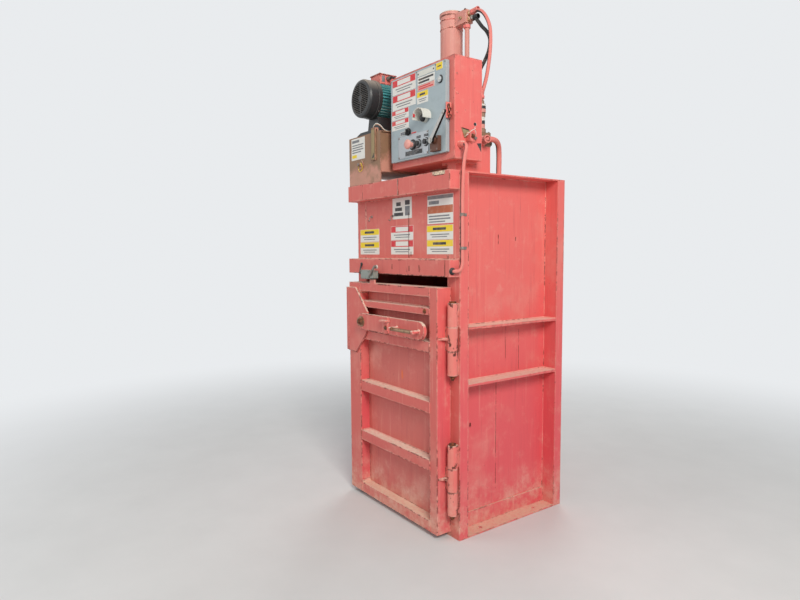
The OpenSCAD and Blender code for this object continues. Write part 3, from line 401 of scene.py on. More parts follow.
def enamel(name, colour, chip, roughness=0.42, dust_share=0.5, chips=0.5, radius=0.004, under=None):
    """Enamel with darker mottles and runs, dust on top and a chipped edge; an older coat may show through it."""
    paint = bpy.context.scene.baler_paint
    finish = Finish(name)
    up = finish.facing("Z").rise(0.2, 0.9)
    mottle = finish.noise(18.0, 6.0, 0.68)
    broad = finish.noise(4.0, 4.0)
    run = finish.noise(6.0, 5.0, 0.66, stretch=(9.0, 9.0, 0.5))
    darker = shaded(colour, 0.72)
    paler = tuple(min(1.0, 1.16 * c + 0.01) for c in colour[:3]) + (1.0,)
    shade = finish.mix(colour, darker, mottle.rise(0.46, 0.74) * 0.5)
    if under is not None:
        through = (finish.facing("X").rise(0.2, 0.8) * 0.45 + finish.axis("Z").fall(1.88, 2.0) * 0.55
                   + (broad - 0.5) * 1.6 + (mottle - 0.5) * 0.8)
        shade = finish.mix(shade, under, through.rise(0.30, 0.62) * 0.85)
    shade = finish.mix(shade, paler, broad.rise(0.5, 0.7) * 0.45)
    shade = finish.mix(shade, darker, run.rise(0.56, 0.82) * 0.4)
    settled = (up * (0.4 + mottle * 0.8) * dust_share).clamped()
    shade = finish.mix(shade, paint.dust, settled)
    patches = finish.noise(55.0, 6.0, 0.72)
    chipped = (finish.edge(radius) * (patches + broad * 0.5)).rise(0.50, 0.62) * chips
    specks = finish.cells(40.0).fall(0.03, 0.07) * broad.rise(0.55, 0.62) * chips
    bare = chipped.larger(specks).clamped()
    shade = finish.mix(shade, chip, bare)
    rough = (roughness + settled * 0.35 + mottle * 0.12 + bare * 0.2).clamped()
    return finish.done(Base_Color=shade, Roughness=rough,
                       Normal=finish.bump(mottle * 0.4 - bare * 0.8, 0.25, 0.0006, soft_edge=0.0016))


def metal(name, colour, roughness, rust=0.3, grain=(1.0, 1.0, 1.0), dark_side=0.0):
    """Bare steel or plating with fine scratches and blooms of rust; its right side may be darkened to near black as
    painted shade.
    """
    paint = bpy.context.scene.baler_paint
    finish = Finish(name)
    scratches = finish.noise(220.0, 4.0, 0.7, stretch=grain)
    blotch = finish.noise(26.0, 6.0, 0.7)
    rusted = blotch.rise(0.62 - 0.3 * rust, 0.78 - 0.3 * rust) * min(1.0, rust * 1.6)
    brown = finish.mix(paint.rust, linear("#9A5B34"), finish.noise(90.0, 4.0).rise(0.4, 0.65))
    shade = finish.mix(colour, shaded(colour, 0.6), scratches.rise(0.45, 0.75) * 0.5)
    shade = finish.mix(shade, brown, rusted)
    if dark_side:
        # Painted shade: faces turned to +X go near black
        painted_shade_side = (finish.facing("X") + (blotch - 0.5) * 0.4).rise(0.25, 0.60) * dark_side
        shade = finish.mix(shade, linear("#1B1A1B"), painted_shade_side)
    return finish.done(Base_Color=shade, Metallic=(1 - rusted) * 0.95,
                       Roughness=(roughness + scratches * 0.14 + rusted * 0.4).clamped(),
                       Normal=finish.bump(scratches * 0.3 + rusted * 0.8, 0.25, 0.0004, soft_edge=0.0012))


def plastic(name, colour, roughness=0.45, fade=0.2):
    """Moulded plastic with a fine texture, bleached on its upper side."""
    paint = bpy.context.scene.baler_paint
    finish = Finish(name)
    fine = finish.noise(420.0, 3.0, 0.6)
    mottle = finish.noise(34.0, 5.0, 0.65)
    up = finish.facing("Z").rise(-0.1, 1.0)
    shade = finish.mix(colour, blended(colour, paint.dust, 0.5),
                       (up * fade + mottle.rise(0.5, 0.75) * 0.3 * fade).clamped())
    shade = finish.mix(shade, shaded(colour, 0.6), mottle.rise(0.56, 0.8) * 0.35)
    return finish.done(Base_Color=shade, Roughness=(roughness + mottle * 0.16).clamped(),
                       Normal=finish.bump(fine * 0.4 + mottle * 0.2, 0.2, 0.0003, soft_edge=0.0008))


def vinyl(name, colour, grime=0.35):
    """Sign foil: matt, yellowed, with dirt in fine streaks and a worn edge."""
    paint = bpy.context.scene.baler_paint
    finish = Finish(name)
    mottle = finish.noise(24.0, 6.0, 0.7)
    run = finish.noise(14.0, 5.0, 0.66, stretch=(7.0, 7.0, 0.6))
    shade = finish.mix(colour, blended(colour, paint.dust, 0.5),
                       (mottle.rise(0.42, 0.75) * grime).clamped())
    shade = finish.mix(shade, shaded(paint.dust, 0.45), run.rise(0.60, 0.84) * grime * 0.8)
    worn = finish.noise(120.0, 4.0, 0.7).rise(0.70, 0.74) * grime
    shade = finish.mix(shade, paint.front, worn * 0.7)
    return finish.done(Base_Color=shade, Roughness=(0.42 + mottle * 0.3).clamped(),
                       Normal=finish.bump(mottle, 0.12, 0.0003))


def rubber(name, colour, overspray_and_lit_colour=None):
    """Hose cover, with paint left on it where it was sprayed with the machine. The pink is laid mostly on the side
    turned to +X: partly overspray, partly painted light on the lit side of the hose.
    """
    paint = bpy.context.scene.baler_paint
    finish = Finish(name)
    mottle = finish.noise(30.0, 6.0, 0.7)
    wrap = finish.noise(300.0, 3.0, 0.6)
    shade = finish.mix(colour, paint.dust, mottle.rise(0.46, 0.8) * 0.30)
    if overspray_and_lit_colour is not None:
        # Overspray and painted light: faces turned to +X, the lit side, take the pink
        overspray_and_lit_mask = (finish.facing("X").rise(-0.35, 0.45) * 0.75 + finish.noise(9.0, 5.0, 0.7) * 0.7).rise(0.50, 0.72)
        shade = finish.mix(shade, overspray_and_lit_colour, overspray_and_lit_mask)
        shade = finish.mix(shade, paint.rust, finish.noise(50.0, 5.0, 0.7).rise(0.66, 0.72) * 0.8)
    return finish.done(Base_Color=shade, Roughness=(0.55 + mottle * 0.25).clamped(),
                       Normal=finish.bump(wrap * 0.5 + mottle * 0.5, 0.3, 0.0005))


def stain(name, colour, low, high):
    """Rust or bared paint that has run down a face: a ragged film that thins out."""
    finish = Finish(name)
    ragged = finish.noise(60.0, 6.0, 0.75, stretch=(1.6, 1.0, 0.30))
    shade = finish.mix(colour, shaded(colour, 0.5), finish.noise(120.0).rise(0.4, 0.6))
    return finish.done(Base_Color=shade, Roughness=0.85, Alpha=ragged.rise(low, high))


def make_finishes():
    """Every material of the machine, by name."""
    paint = bpy.context.scene.baler_paint
    signs = bpy.context.scene.baler_signs
    front, side, low = tuple(paint.front), tuple(paint.side), tuple(paint.low)
    chamber = tuple(paint.chamber)
    steel_chip = linear("#6A5D55")
    return {
        "body_paint": weathered_paint("body_paint", front, side, low),
        "side_paint": weathered_paint("side_paint", front, side, low, dust=0.9, rust=0.6),
        "door_paint": weathered_paint("door_paint", front, side, low, rust=1.1),
        "door_sheet_paint": weathered_paint("door_sheet_paint", linear("#C46A5F"), side, low, rust=0.9, streaks=1.6,
                                            bloom=(0.0255, 0.742, 0.812, 0.012)),
        "knuckle_paint": weathered_paint("knuckle_paint", linear("#DA7C70"), linear("#E08278"), side, rust=1.5,
                                         flaking=1.0),
        "cylinder_paint": weathered_paint("cylinder_paint", linear("#C97F73"), linear("#CF8A7E"), low, rust=1.2),
        "chamber_paint": weathered_paint("chamber_paint", chamber, chamber, chamber, dust=0.6, rust=1.4,
                                         streaks=1.6),
        "tank_paint": enamel("tank_paint", tuple(paint.tank), tuple(paint.rust), 0.48, 0.75, 0.9,
                             under=linear("#C98E7C")),
        "strap_paint": enamel("strap_paint", linear("#94805A"), tuple(paint.rust), 0.5, 0.75, 0.7),
        "grey_enamel": enamel("grey_enamel", tuple(paint.grey), steel_chip, 0.34, 0.25, 0.35, 0.002),
        "motor_enamel": enamel("motor_enamel", tuple(paint.teal), linear("#2A3A3C"), 0.36, 0.55, 0.6),
        "black_enamel": enamel("black_enamel", tuple(paint.black), linear("#6E6258"), 0.38, 0.42, 0.9),
        "lamp_paint": enamel("lamp_paint", linear("#8B9089"), paint.rust, 0.4, 0.4, 0.6, 0.002),
        "dull_steel": metal("dull_steel", linear("#8F8A84"), 0.42, 0.45),
        "lever_steel": metal("lever_steel", linear("#A8A6A2"), 0.40, 0.25, dark_side=0.95),
        "worn_steel": metal("worn_steel", linear("#A58A70"), 0.45, 0.55),
        "rusty_steel": metal("rusty_steel", linear("#7A6A5E"), 0.55, 1.0),
        "clean_steel": metal("clean_steel", linear("#A9ABAB"), 0.30, 0.06),
        "polished_rod": metal("polished_rod", linear("#C6C9CB"), 0.12, 0.0),
        "satin_plate": metal("satin_plate", linear("#A7ABAE"), 0.34, 0.03, (0.15, 1.0, 4.0)),
        "plated_fitting": metal("plated_fitting", linear("#B3A27C"), 0.32, 0.35),
        "brown_plastic": plastic("brown_plastic", linear("#5A3424"), 0.5, 0.3),
        "faded_plastic": plastic("faded_plastic", linear("#D9968C"), 0.4, 0.5),
        "black_plastic": plastic("black_plastic", linear("#1D1E21"), 0.42, 0.15),
        "pale_plastic": plastic("pale_plastic", linear("#D2D1C8"), 0.45, 0.3),
        "blue_wire": plastic("blue_wire", linear("#26406E"), 0.4, 0.0),
        "red_wire": plastic("red_wire", linear("#8E2624"), 0.4, 0.0),
        "hose_rubber": rubber("hose_rubber", linear("#1C1B1E"), None),
        "hose_overspray_and_lit_side": rubber("hose_overspray_and_lit_side", linear("#3A2A2C"), linear("#DB7D74")),
        "rust_solid": plastic("rust_solid", linear("#3A2018"), 0.7, 0.1),
        "rust_stain": stain("rust_stain", linear("#6E3A20"), 0.42, 0.56),
        "chip_stain": stain("chip_stain", linear("#4A2A1E"), 0.48, 0.54),
        "cream_stain": stain("cream_stain", linear("#E9CFB4"), 0.40, 0.46),
        "pale_stain": stain("pale_stain", linear("#E6C4B4"), 0.30, 0.50),
        "sign_white": vinyl("sign_white", tuple(signs.white)),
        "sign_yellow": vinyl("sign_yellow", tuple(signs.yellow)),
        "sign_red": vinyl("sign_red", tuple(signs.red)),
        "sign_orange": vinyl("sign_orange", tuple(signs.orange), 0.5),
        "sign_ink": vinyl("sign_ink", tuple(signs.ink), 0.5),
        "sign_black": vinyl("sign_black", linear("#26262A"), 0.3),
    }


# Which CAD nodes take each finish
CAD_FINISHES = {
    "body_paint": ["front_posts", "upper_beam", "lower_beam", "header_panel", "latch_keeper",
                   "terminal_box"],
    "cylinder_paint": ["cylinder_barrel", "cylinder_flange", "port_block"],
    "side_paint": ["rear_posts", "side_panel_left", "side_panel_right", "back_panel", "body_ribs", "deck_plate",
                   "base_angles", "box_posts", "control_box", "floor_frame"],
    "door_paint": ["door_stiles", "door_rails", "door_ribs", "latch_plate", "latch_arm"],
    "door_sheet_paint": ["door_panel"],
    "knuckle_paint": ["frame_knuckles", "door_knuckles"],
    "chamber_paint": ["chamber_floor", "platen", "platen_bars"],
    "tank_paint": ["oil_tank", "pump", "valve_stack"],
    "lamp_paint": ["limit_switch"],
    "grey_enamel": ["control_door"],
    "motor_enamel": ["motor_body"],
    "black_enamel": ["fan_cowl", "motor_base", "motor_fan"],
    "dull_steel": ["filler_cap", "rod_gland", "switch_arm"],
    "lever_steel": ["disconnect_lever"],
    "worn_steel": ["latch_shaft"],
    "rusty_steel": ["hinge_pins"],
    "clean_steel": ["inner_plate", "key_lock"],
    "polished_rod": ["ram_rod"],
    "satin_plate": ["button_plate"],
    "brown_plastic": ["disconnect_base"],
    "faded_plastic": ["estop_button"],
    "black_plastic": ["start_button", "return_button", "selector_knob", "contact_blocks"],
    "pale_plastic": ["indicator_hood"],
    "hose_overspray_and_lit_side": ["conduit", "rod_hose"],
    "hose_rubber": ["cap_hoses", "power_hoses"],
}
# Every material by name, once its operator has made it
FINISHES = {}


class Shape:
    """Collects the faces of one piece, with a finish for each."""

    def __init__(self):
        self.bm = bmesh.new()
        self.finishes = []

    def index(self, finish):
        """The place of a finish in the piece's list of materials."""
        if finish not in self.finishes:
            self.finishes.append(finish)
        return self.finishes.index(finish)

    def faces(self, faces, finish):
        """Gives faces their finish."""
        number = self.index(finish)
        for face in faces:
            face.material_index = number

    def block(self, low, high, finish):
        """A box between two corners."""
        made = bmesh.ops.create_cube(self.bm, size=1.0)
        low, high = Vector(low), Vector(high)
        place = Matrix.Translation((low + high) / 2) @ Matrix.Diagonal((*(high - low), 1.0))
        bmesh.ops.transform(self.bm, matrix=place, verts=made["verts"])
        self.faces({f for v in made["verts"] for f in v.link_faces}, finish)

    def turned(self, profile, place, axis, finish, sides=32):
        """A closed form turned from a profile of (radius, distance along); a ring where the profile stays off
        the axis."""
        turn = Vector((0, 0, 1)).rotation_difference(Vector(axis)).to_matrix().to_4x4()
        place = Matrix.Translation(Vector(place)) @ turn
        rings = []
        for radius, along in profile:
            if radius < 1e-6:
                rings.append([self.bm.verts.new(place @ Vector((0, 0, along)))])
                continue
            rings.append([self.bm.verts.new(place @ Vector((radius * math.cos(2 * math.pi * k / sides),
                                                           radius * math.sin(2 * math.pi * k / sides), along)))
                          for k in range(sides)])
        made = []
        for a, b in zip(rings, rings[1:]):
            for k in range(sides):
                corners = [a[k % len(a)], a[(k + 1) % len(a)], b[(k + 1) % len(b)], b[k % len(b)]]
                corners = list(dict.fromkeys(corners))
                if len(corners) > 2:
                    made.append(self.bm.faces.new(corners))
        first, last = rings[0], rings[-1]
        if len(first) > 1 and len(last) > 1:
            made += [self.bm.faces.new([last[k], last[(k + 1) % sides], first[(k + 1) % sides], first[k]])
                     for k in range(sides)]
        self.faces(made, finish)

    def collar(self, inner, outer, foot, head, place, axis, finish, sides=32):
        """A plain ring or disc of square section, from foot to head along its axis."""
        self.turned([(inner, foot), (outer, foot), (outer, head), (inner, head)], place, axis, finish, sides)

    def prism(self, outline, depth, finish):
        """A flat plate: its outline and the way that its thickness goes."""
        near = [self.bm.verts.new(Vector(p)) for p in outline]
        far = [self.bm.verts.new(Vector(p) + Vector(depth)) for p in outline]
        made = [self.bm.faces.new(near), self.bm.faces.new(far[::-1])]
        for k in range(len(near)):
            after = (k + 1) % len(near)
            made.append(self.bm.faces.new([near[k], near[after], far[after], far[k]]))
        self.faces(made, finish)

    def tube(self, points, radius, finish, sides=16):
        """A round tube along a line of points."""
        points = [Vector(point) for point in points]
        directions = [(points[min(i + 1, len(points) - 1)] - points[max(i - 1, 0)]).normalized()
                      for i in range(len(points))]
        side = directions[0].orthogonal().normalized()
        rings = []
        for point, ahead in zip(points, directions):
            side = (side - side.dot(ahead) * ahead).normalized()
            across = ahead.cross(side)
            rings.append([self.bm.verts.new(point + radius * (math.cos(2 * math.pi * k / sides) * side
                                                              + math.sin(2 * math.pi * k / sides) * across))
                          for k in range(sides)])
        made = [self.bm.faces.new([a[k], a[(k + 1) % sides], b[(k + 1) % sides], b[k]])
                for a, b in zip(rings, rings[1:]) for k in range(sides)]
        made.append(self.bm.faces.new(rings[0][::-1]))
        made.append(self.bm.faces.new(rings[-1]))
        self.faces(made, finish)

    def finish(self, name, body, slot, bevel=0.0):
        """Makes the object and ties it to its body; its slot is not used."""
        bmesh.ops.recalc_face_normals(self.bm, faces=self.bm.faces)
        mesh = bpy.data.meshes.new(name)
        self.bm.to_mesh(mesh)
        self.bm.free()
        for finish in self.finishes:
            mesh.materials.append(FINISHES[finish])
        mesh.shade_smooth()
        mesh.set_sharp_from_angle(angle=math.radians(SHARP_EDGE))
        made = bpy.data.objects.new(name, mesh)
        bpy.context.scene.collection.objects.link(made)
        if bevel:
            rounding = made.modifiers.new("rounding", "BEVEL")
            rounding.width = bevel
            rounding.segments = 2
            rounding.limit_method = "ANGLE"
        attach(made, body)
        return made


def full_turn(steps):
    """The angles of a closed ring, with its first one again at its end."""
    return [2 * math.pi * k / steps for k in range(steps + 1)]


def smooth_line(points, steps):
    """A smooth line through the chosen points, as the CAD draws it."""
    points = [Vector(point) for point in points]
    line = []
    for i in range(len(points) - 1):
        a, b, c, d = (points[max(i - 1, 0)], points[i], points[i + 1], points[min(i + 2, len(points) - 1)])
        for k in range(steps):
            t = k / steps
            line.append(0.5 * (2 * b + (c - a) * t + (2 * a - 5 * b + 4 * c - d) * t * t
                               + (3 * b - a - 3 * c + d) * t * t * t))
    return line + [points[-1]]


def grown(name, body, material, sizes, build, points, edges=(), directions=()):
    """Grows like pieces on a drawing of points and edges with Geometry Nodes, as one plain mesh."""
    tree = bpy.data.node_groups.new(name, "GeometryNodeTree")
    tree.interface.new_socket("Geometry", in_out="INPUT", socket_type="NodeSocketGeometry")
    tree.interface.new_socket("Geometry", in_out="OUTPUT", socket_type="NodeSocketGeometry")
    sockets = {size: tree.interface.new_socket(size, in_out="INPUT", socket_type="NodeSocketFloat")
               for size in sizes}
    graph = Graph(tree)
    start = tree.nodes.new("NodeGroupInput")
    inputs = {socket.name: Value(graph, socket) for socket in start.outputs if socket.name}
    made = build(graph, inputs)
    real = graph.node("GeometryNodeRealizeInstances", {}, {0: made})
    coated = graph.node("GeometryNodeSetMaterial", {}, {"Geometry": real, "Material": material})
    end = tree.nodes.new("NodeGroupOutput")
    graph.plug(end.inputs[0], coated)
    drawing = bpy.data.meshes.new(name)
    drawing.from_pydata([tuple(p) for p in points], list(edges), [])
    if directions:
        facing = drawing.attributes.new("facing", "FLOAT_VECTOR", "POINT")
        facing.data.foreach_set("vector", [part for direction in directions for part in direction])
    carrier = bpy.data.objects.new(name + "_drawing", drawing)
    bpy.context.scene.collection.objects.link(carrier)
    grower = carrier.modifiers.new("grower", "NODES")
    grower.node_group = tree
    for size, value in sizes.items():
        grower[sockets[size].identifier] = value
    graph = bpy.context.evaluated_depsgraph_get()
    mesh = bpy.data.meshes.new_from_object(carrier.evaluated_get(graph), depsgraph=graph)
    carrier.modifiers.remove(grower)
    bpy.data.objects.remove(carrier)
    mesh.name = name
    grown_piece = bpy.data.objects.new(name, mesh)
    bpy.context.scene.collection.objects.link(grown_piece)
    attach(grown_piece, body)
    return grown_piece


def heads(name, body, finish, places, facing, radius, height, sides=6):
    """A set of like fastener heads with washers, facing one way or each its own way."""
    def build(graph, inputs):
        size, rise = inputs["Head radius"], inputs["Head height"]
        head = graph.node("GeometryNodeMeshCone", {"fill_type": "NGON"}, {
            "Vertices": sides, "Radius Top": size * 0.82, "Radius Bottom": size, "Depth": rise}, "Mesh")
        washer = graph.node("GeometryNodeMeshCylinder", {"fill_type": "NGON"}, {
            "Vertices": 20, "Radius": size * 1.4, "Depth": rise * 0.4}, "Mesh")
        both = graph.node("GeometryNodeJoinGeometry", {}, {0: [head, washer]})
        attribute = graph.node("GeometryNodeInputNamedAttribute", {"data_type": "FLOAT_VECTOR"}, {"Name": "facing"})
        turn = graph.node("FunctionNodeAlignRotationToVector", {"axis": "Z"}, {"Vector": attribute})
        return graph.node("GeometryNodeInstanceOnPoints", {}, {
            "Points": inputs["Geometry"], "Instance": both, "Rotation": turn})

    directions = [facing] * len(places) if isinstance(facing, tuple) else facing
    sizes = {"Head radius": radius, "Head height": height}
    made = grown(name, body, FINISHES[finish], sizes, build, places, directions=directions)
    made.data.set_sharp_from_angle(angle=math.radians(SHARP_HEAD))
    return made


def weld_set(name, body, finish, lines):
    """Weld beads along a set of joins, rippled and uneven as a hand lays them."""
    def build(graph, inputs):
        line = graph.node("GeometryNodeMeshToCurve", {}, {0: inputs["Geometry"]})
        steps = graph.node("GeometryNodeResampleCurve", {"mode": "LENGTH"}, {
            "Curve": line, "Length": inputs["Ripple"]})
        beat = graph.node("GeometryNodeInputIndex", {}, {}).math("MULTIPLY", 2.2).math("SINE")
        wander = graph.node("ShaderNodeTexNoise", {"noise_dimensions": "3D"}, {"Scale": 55.0})
        width = inputs["Bead radius"] * (0.80 + beat * 0.16 + wander * 0.45)
        ring = graph.node("GeometryNodeCurvePrimitiveCircle", {"mode": "RADIUS"}, {"Resolution": 6, "Radius": 1.0})
        mesh = graph.node("GeometryNodeCurveToMesh", {}, {
            "Curve": steps, "Profile Curve": ring, "Scale": width, "Fill Caps": True})
        return graph.node("GeometryNodeSetShadeSmooth", {}, {0: mesh})

    trim = bpy.context.scene.baler_trim
    points = [point for line in lines for point in line]
    edges = [(2 * i, 2 * i + 1) for i in range(len(lines))]
    sizes = {"Bead radius": trim.weld_radius, "Ripple": trim.weld_ripple}
    return grown(name, body, FINISHES[finish], sizes, build, points, edges)


def sign(shape, left, right, low, high, face, fields, ground="sign_white"):
    """A blank sign on a front face. Its fields are (foot, head, left, right, finish), as shares of the sign."""
    width, height = right - left, high - low
    shape.block((left, face - SIGN_THICKNESS, low), (right, face, high), ground)
    for k, (foot, head, x0, x1, finish) in enumerate(fields):
        shape.block((left + x0 * width, face - SIGN_THICKNESS - PROUD * (1 + 0.02 * k), low + foot * height),
                    (left + x1 * width, face - SIGN_THICKNESS, low + head * height), finish)


def seen_plainly(graph):
    """1 for what the camera, a reflection or glass shows, 0 for the light that falls on the machine."""
    rays = graph.tree.nodes.new("ShaderNodeLightPath")
    seen = Value(graph, rays.outputs["Is Camera Ray"])
    for kind in ("Is Glossy Ray", "Is Transmission Ray"):
        seen = seen + Value(graph, rays.outputs[kind])
    return seen.clamped()


class BALER_OT_camera(bpy.types.Operator):
    """Places the camera at the photograph's viewing angle"""
    bl_idname = "baler.camera"
    bl_label = "Camera"

    def execute(self, context):
        heading, pitch, roll = CAMERA_HEADING, CAMERA_PITCH, CAMERA_ROLL
        ahead = Vector((-math.cos(heading) * math.cos(pitch), math.sin(heading) * math.cos(pitch), math.sin(pitch)))
        level = ahead.cross(Vector((0, 0, 1))).normalized()
        upright = level.cross(ahead)
        right = math.cos(roll) * level + math.sin(roll) * upright
        up = -math.sin(roll) * level + math.cos(roll) * upright
        lens = bpy.data.cameras.new("camera")
        lens.sensor_width = 36.0
        lens.lens = CAMERA_FOCAL_PIXELS / IMAGE_WIDTH * lens.sensor_width
        lens.clip_end = 100.0
        camera = bpy.data.objects.new("camera", lens)
        camera.matrix_world = Matrix.Translation(CAMERA_PLACE) @ Matrix((right, up, -ahead)).transposed().to_4x4()
        context.scene.collection.objects.link(camera)
        context.scene.camera = camera
        return {"FINISHED"}


class BALER_OT_stage(bpy.types.Operator):
    """Builds the pale floor, the soft lamps and the pale surroundings"""
    bl_idname = "baler.stage"
    bl_label = "Stage"

    def execute(self, context):
        mesh = bpy.data.meshes.new("floor")
        mesh.from_pydata([(x * FLOOR_REACH, y * FLOOR_REACH, 0) for x, y in ((-1, -1), (1, -1), (1, 1), (-1, 1))],
                         [], [(0, 1, 2, 3)])
        floor = bpy.data.objects.new("floor", mesh)
        context.scene.collection.objects.link(floor)
        finish = Finish("floor_finish")
        shade = finish.mix((0.62, 0.62, 0.61, 1.0), (0.70, 0.70, 0.69, 1.0), finish.noise(3.0, 4.0))
        mesh.materials.append(finish.done(Base_Color=shade, Roughness=0.85))
        away = finish.node("ShaderNodeVectorMath", {"operation": "LENGTH"}, {0: finish.place}, "Value")
        pale = finish.node("ShaderNodeEmission", {}, {"Color": PALE, "Strength": PALE_STRENGTH})
        faded = finish.node("ShaderNodeMixShader", {}, {0: away.rise(1.6, 5.0) * seen_plainly(finish),
                                                        1: finish.shader.outputs[0], 2: pale})
        finish.plug(finish.output.inputs["Surface"], faded)
        for lamp in LAMPS:
            self.lamp(context, *lamp)
        world = bpy.data.worlds.new("surroundings")
        world.use_nodes = True
        context.scene.world = world
        sky = Graph(world.node_tree)
        sky.tree.nodes.clear()
        light = sky.node("ShaderNodeBackground", {}, {"Color": SKY_LIGHT, "Strength": SKY_STRENGTH})
        shown = sky.node("ShaderNodeBackground", {}, {"Color": PALE, "Strength": PALE_STRENGTH})
        mixed = sky.node("ShaderNodeMixShader", {}, {0: seen_plainly(sky), 1: light, 2: shown})
        sky.plug(sky.tree.nodes.new("ShaderNodeOutputWorld").inputs["Surface"], mixed)
        context.scene.view_settings.view_transform = "Standard"
        return {"FINISHED"}

    def lamp(self, context, name, place, target, size, power, colour):
        """A square soft lamp, turned to its target."""
        light = bpy.data.lights.new(name, "AREA")
        light.size = size
        light.energy = power
        light.color = colour
        lamp = bpy.data.objects.new(name, light)
        ahead = (Vector(target) - Vector(place)).normalized()
        lamp.matrix_world = Matrix.Translation(place) @ ahead.to_track_quat("-Z", "Y").to_matrix().to_4x4()
        context.scene.collection.objects.link(lamp)


class BALER_OT_finishes(bpy.types.Operator):
    """Makes every finish and puts them on the machine's metalwork"""
    bl_idname = "baler.finishes"
    bl_label = "Finishes"

    def execute(self, context):
        FINISHES.update(make_finishes())
        left = set(NODES)
        for finish, nodes in CAD_FINISHES.items():
            for node in nodes:
                mesh = NODES[node].data
                mesh.materials.clear()
                mesh.materials.append(FINISHES[finish])
                left.discard(node)
        if left:
            raise RuntimeError(f"no finish for {sorted(left)}")
        return {"FINISHED"}


# Routes of the hoses and the conduit, with the same points as the CAD
CAP_HOSE_BLACK = [
    (0.172, -0.037, 2.692), (0.192, -0.037, 2.688), (0.214, -0.036, 2.664), (0.242, -0.032, 2.628),
    (0.270, -0.028, 2.598), (0.290, -0.025, 2.562), (0.294, -0.025, 2.528), (0.285, -0.027, 2.488),
    (0.262, -0.032, 2.446), (0.242, -0.048, 2.398), (0.232, -0.076, 2.330), (0.234, -0.106, 2.260),
    (0.250, -0.132, 2.180), (0.282, -0.149, 2.110), (0.306, -0.150, 2.074), (0.308, -0.150, 2.050)]
CAP_HOSE_PINK = [
    (0.172, -0.037, 2.724), (0.204, -0.038, 2.723), (0.248, -0.042, 2.702), (0.288, -0.047, 2.660),
    (0.320, -0.053, 2.604), (0.335, -0.060, 2.540), (0.341, -0.069, 2.470), (0.342, -0.080, 2.400),
    (0.340, -0.094, 2.330), (0.335, -0.110, 2.272), (0.331, -0.118, 2.244), (0.330, -0.120, 2.228)]
ROD_HOSE = [
    (0.362, -0.141, 2.004), (0.378, -0.141, 2.006), (0.392, -0.128, 2.010), (0.392, -0.096, 2.012),
    (0.380, -0.058, 2.008), (0.362, -0.026, 1.992), (0.348, -0.008, 1.964), (0.341, 0.000, 1.925),
    (0.340, 0.000, 1.880), (0.340, 0.000, 1.836), (0.338, 0.000, 1.806), (0.318, -0.004, 1.786),
    (0.276, -0.012, 1.780), (0.200, -0.026, 1.780), (0.120, -0.036, 1.780), (0.076, -0.037, 1.780)]
PRESSURE_HOSE = [
    (-0.282, 0.036, 2.190), (-0.282, 0.060, 2.188), (-0.268, 0.092, 2.178), (-0.232, 0.112, 2.150),
    (-0.170, 0.122, 2.100), (-0.080, 0.122, 2.050), (0.040, 0.110, 2.020), (0.150, 0.070, 2.010),
    (0.230, 0.010, 2.008), (0.280, -0.040, 2.008), (0.318, -0.070, 2.008), (0.326, -0.082, 2.008)]
RETURN_HOSE = [
    (0.300, -0.082, 2.030), (0.300, -0.066, 2.030), (0.280, -0.030, 2.036), (0.220, 0.030, 2.050),
    (0.120, 0.092, 2.080), (0.000, 0.128, 2.120), (-0.100, 0.126, 2.160), (-0.170, 0.090, 2.190),
    (-0.196, 0.040, 2.192), (-0.200, -0.004, 2.176), (-0.200, -0.020, 2.140), (-0.200, -0.022, 2.106)]
CONDUIT = [
    (0.432, -0.345, 1.958), (0.446, -0.345, 1.958), (0.462, -0.346, 1.956), (0.473, -0.349, 1.946),
    (0.477, -0.353, 1.928), (0.477, -0.364, 1.880), (0.477, -0.372, 1.800), (0.477, -0.375, 1.700),
    (0.477, -0.375, 1.560), (0.477, -0.375, 1.420), (0.477, -0.376, 1.388), (0.478, -0.384, 1.364),
    (0.480, -0.400, 1.352), (0.479, -0.418, 1.350), (0.472, -0.428, 1.350), (0.465, -0.430, 1.350)]


def hose(name, node, route, radius, finish, slot, nut="dull_steel"):
    """One hose along its route, with a hexagon nut and a crimped ferrule at each end."""
    line = smooth_line(route, 6)
    shape = Shape()
    shape.tube(line, radius, finish, sides=20)
    hexagon = [(0.6, -0.004), (1.7, -0.003), (1.85, -0.001), (1.85, 0.012), (1.6, 0.015), (0.6, 0.015)]
    crimp = [(1.04, 0.0), (1.48, 0.0)]
    for k in range(4):
        crimp += [(1.48, 0.006 + 0.009 * k), (1.34, 0.008 + 0.009 * k), (1.34, 0.010 + 0.009 * k),
                  (1.48, 0.012 + 0.009 * k)]
    crimp += [(1.48, 0.044), (1.30, 0.047), (1.02, 0.047)]
    for end, ahead in ((line[0], line[2] - line[0]), (line[-1], line[-3] - line[-1])):
        shape.turned([(share * radius, along) for share, along in hexagon], end, ahead.normalized(), nut, sides=6)
        shape.turned([(share * radius, 0.014 + along * 0.7) for share, along in crimp], end, ahead.normalized(),
                     finish, sides=24)
    made = shape.finish(name, "frame", slot)
    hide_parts(node)
    return made


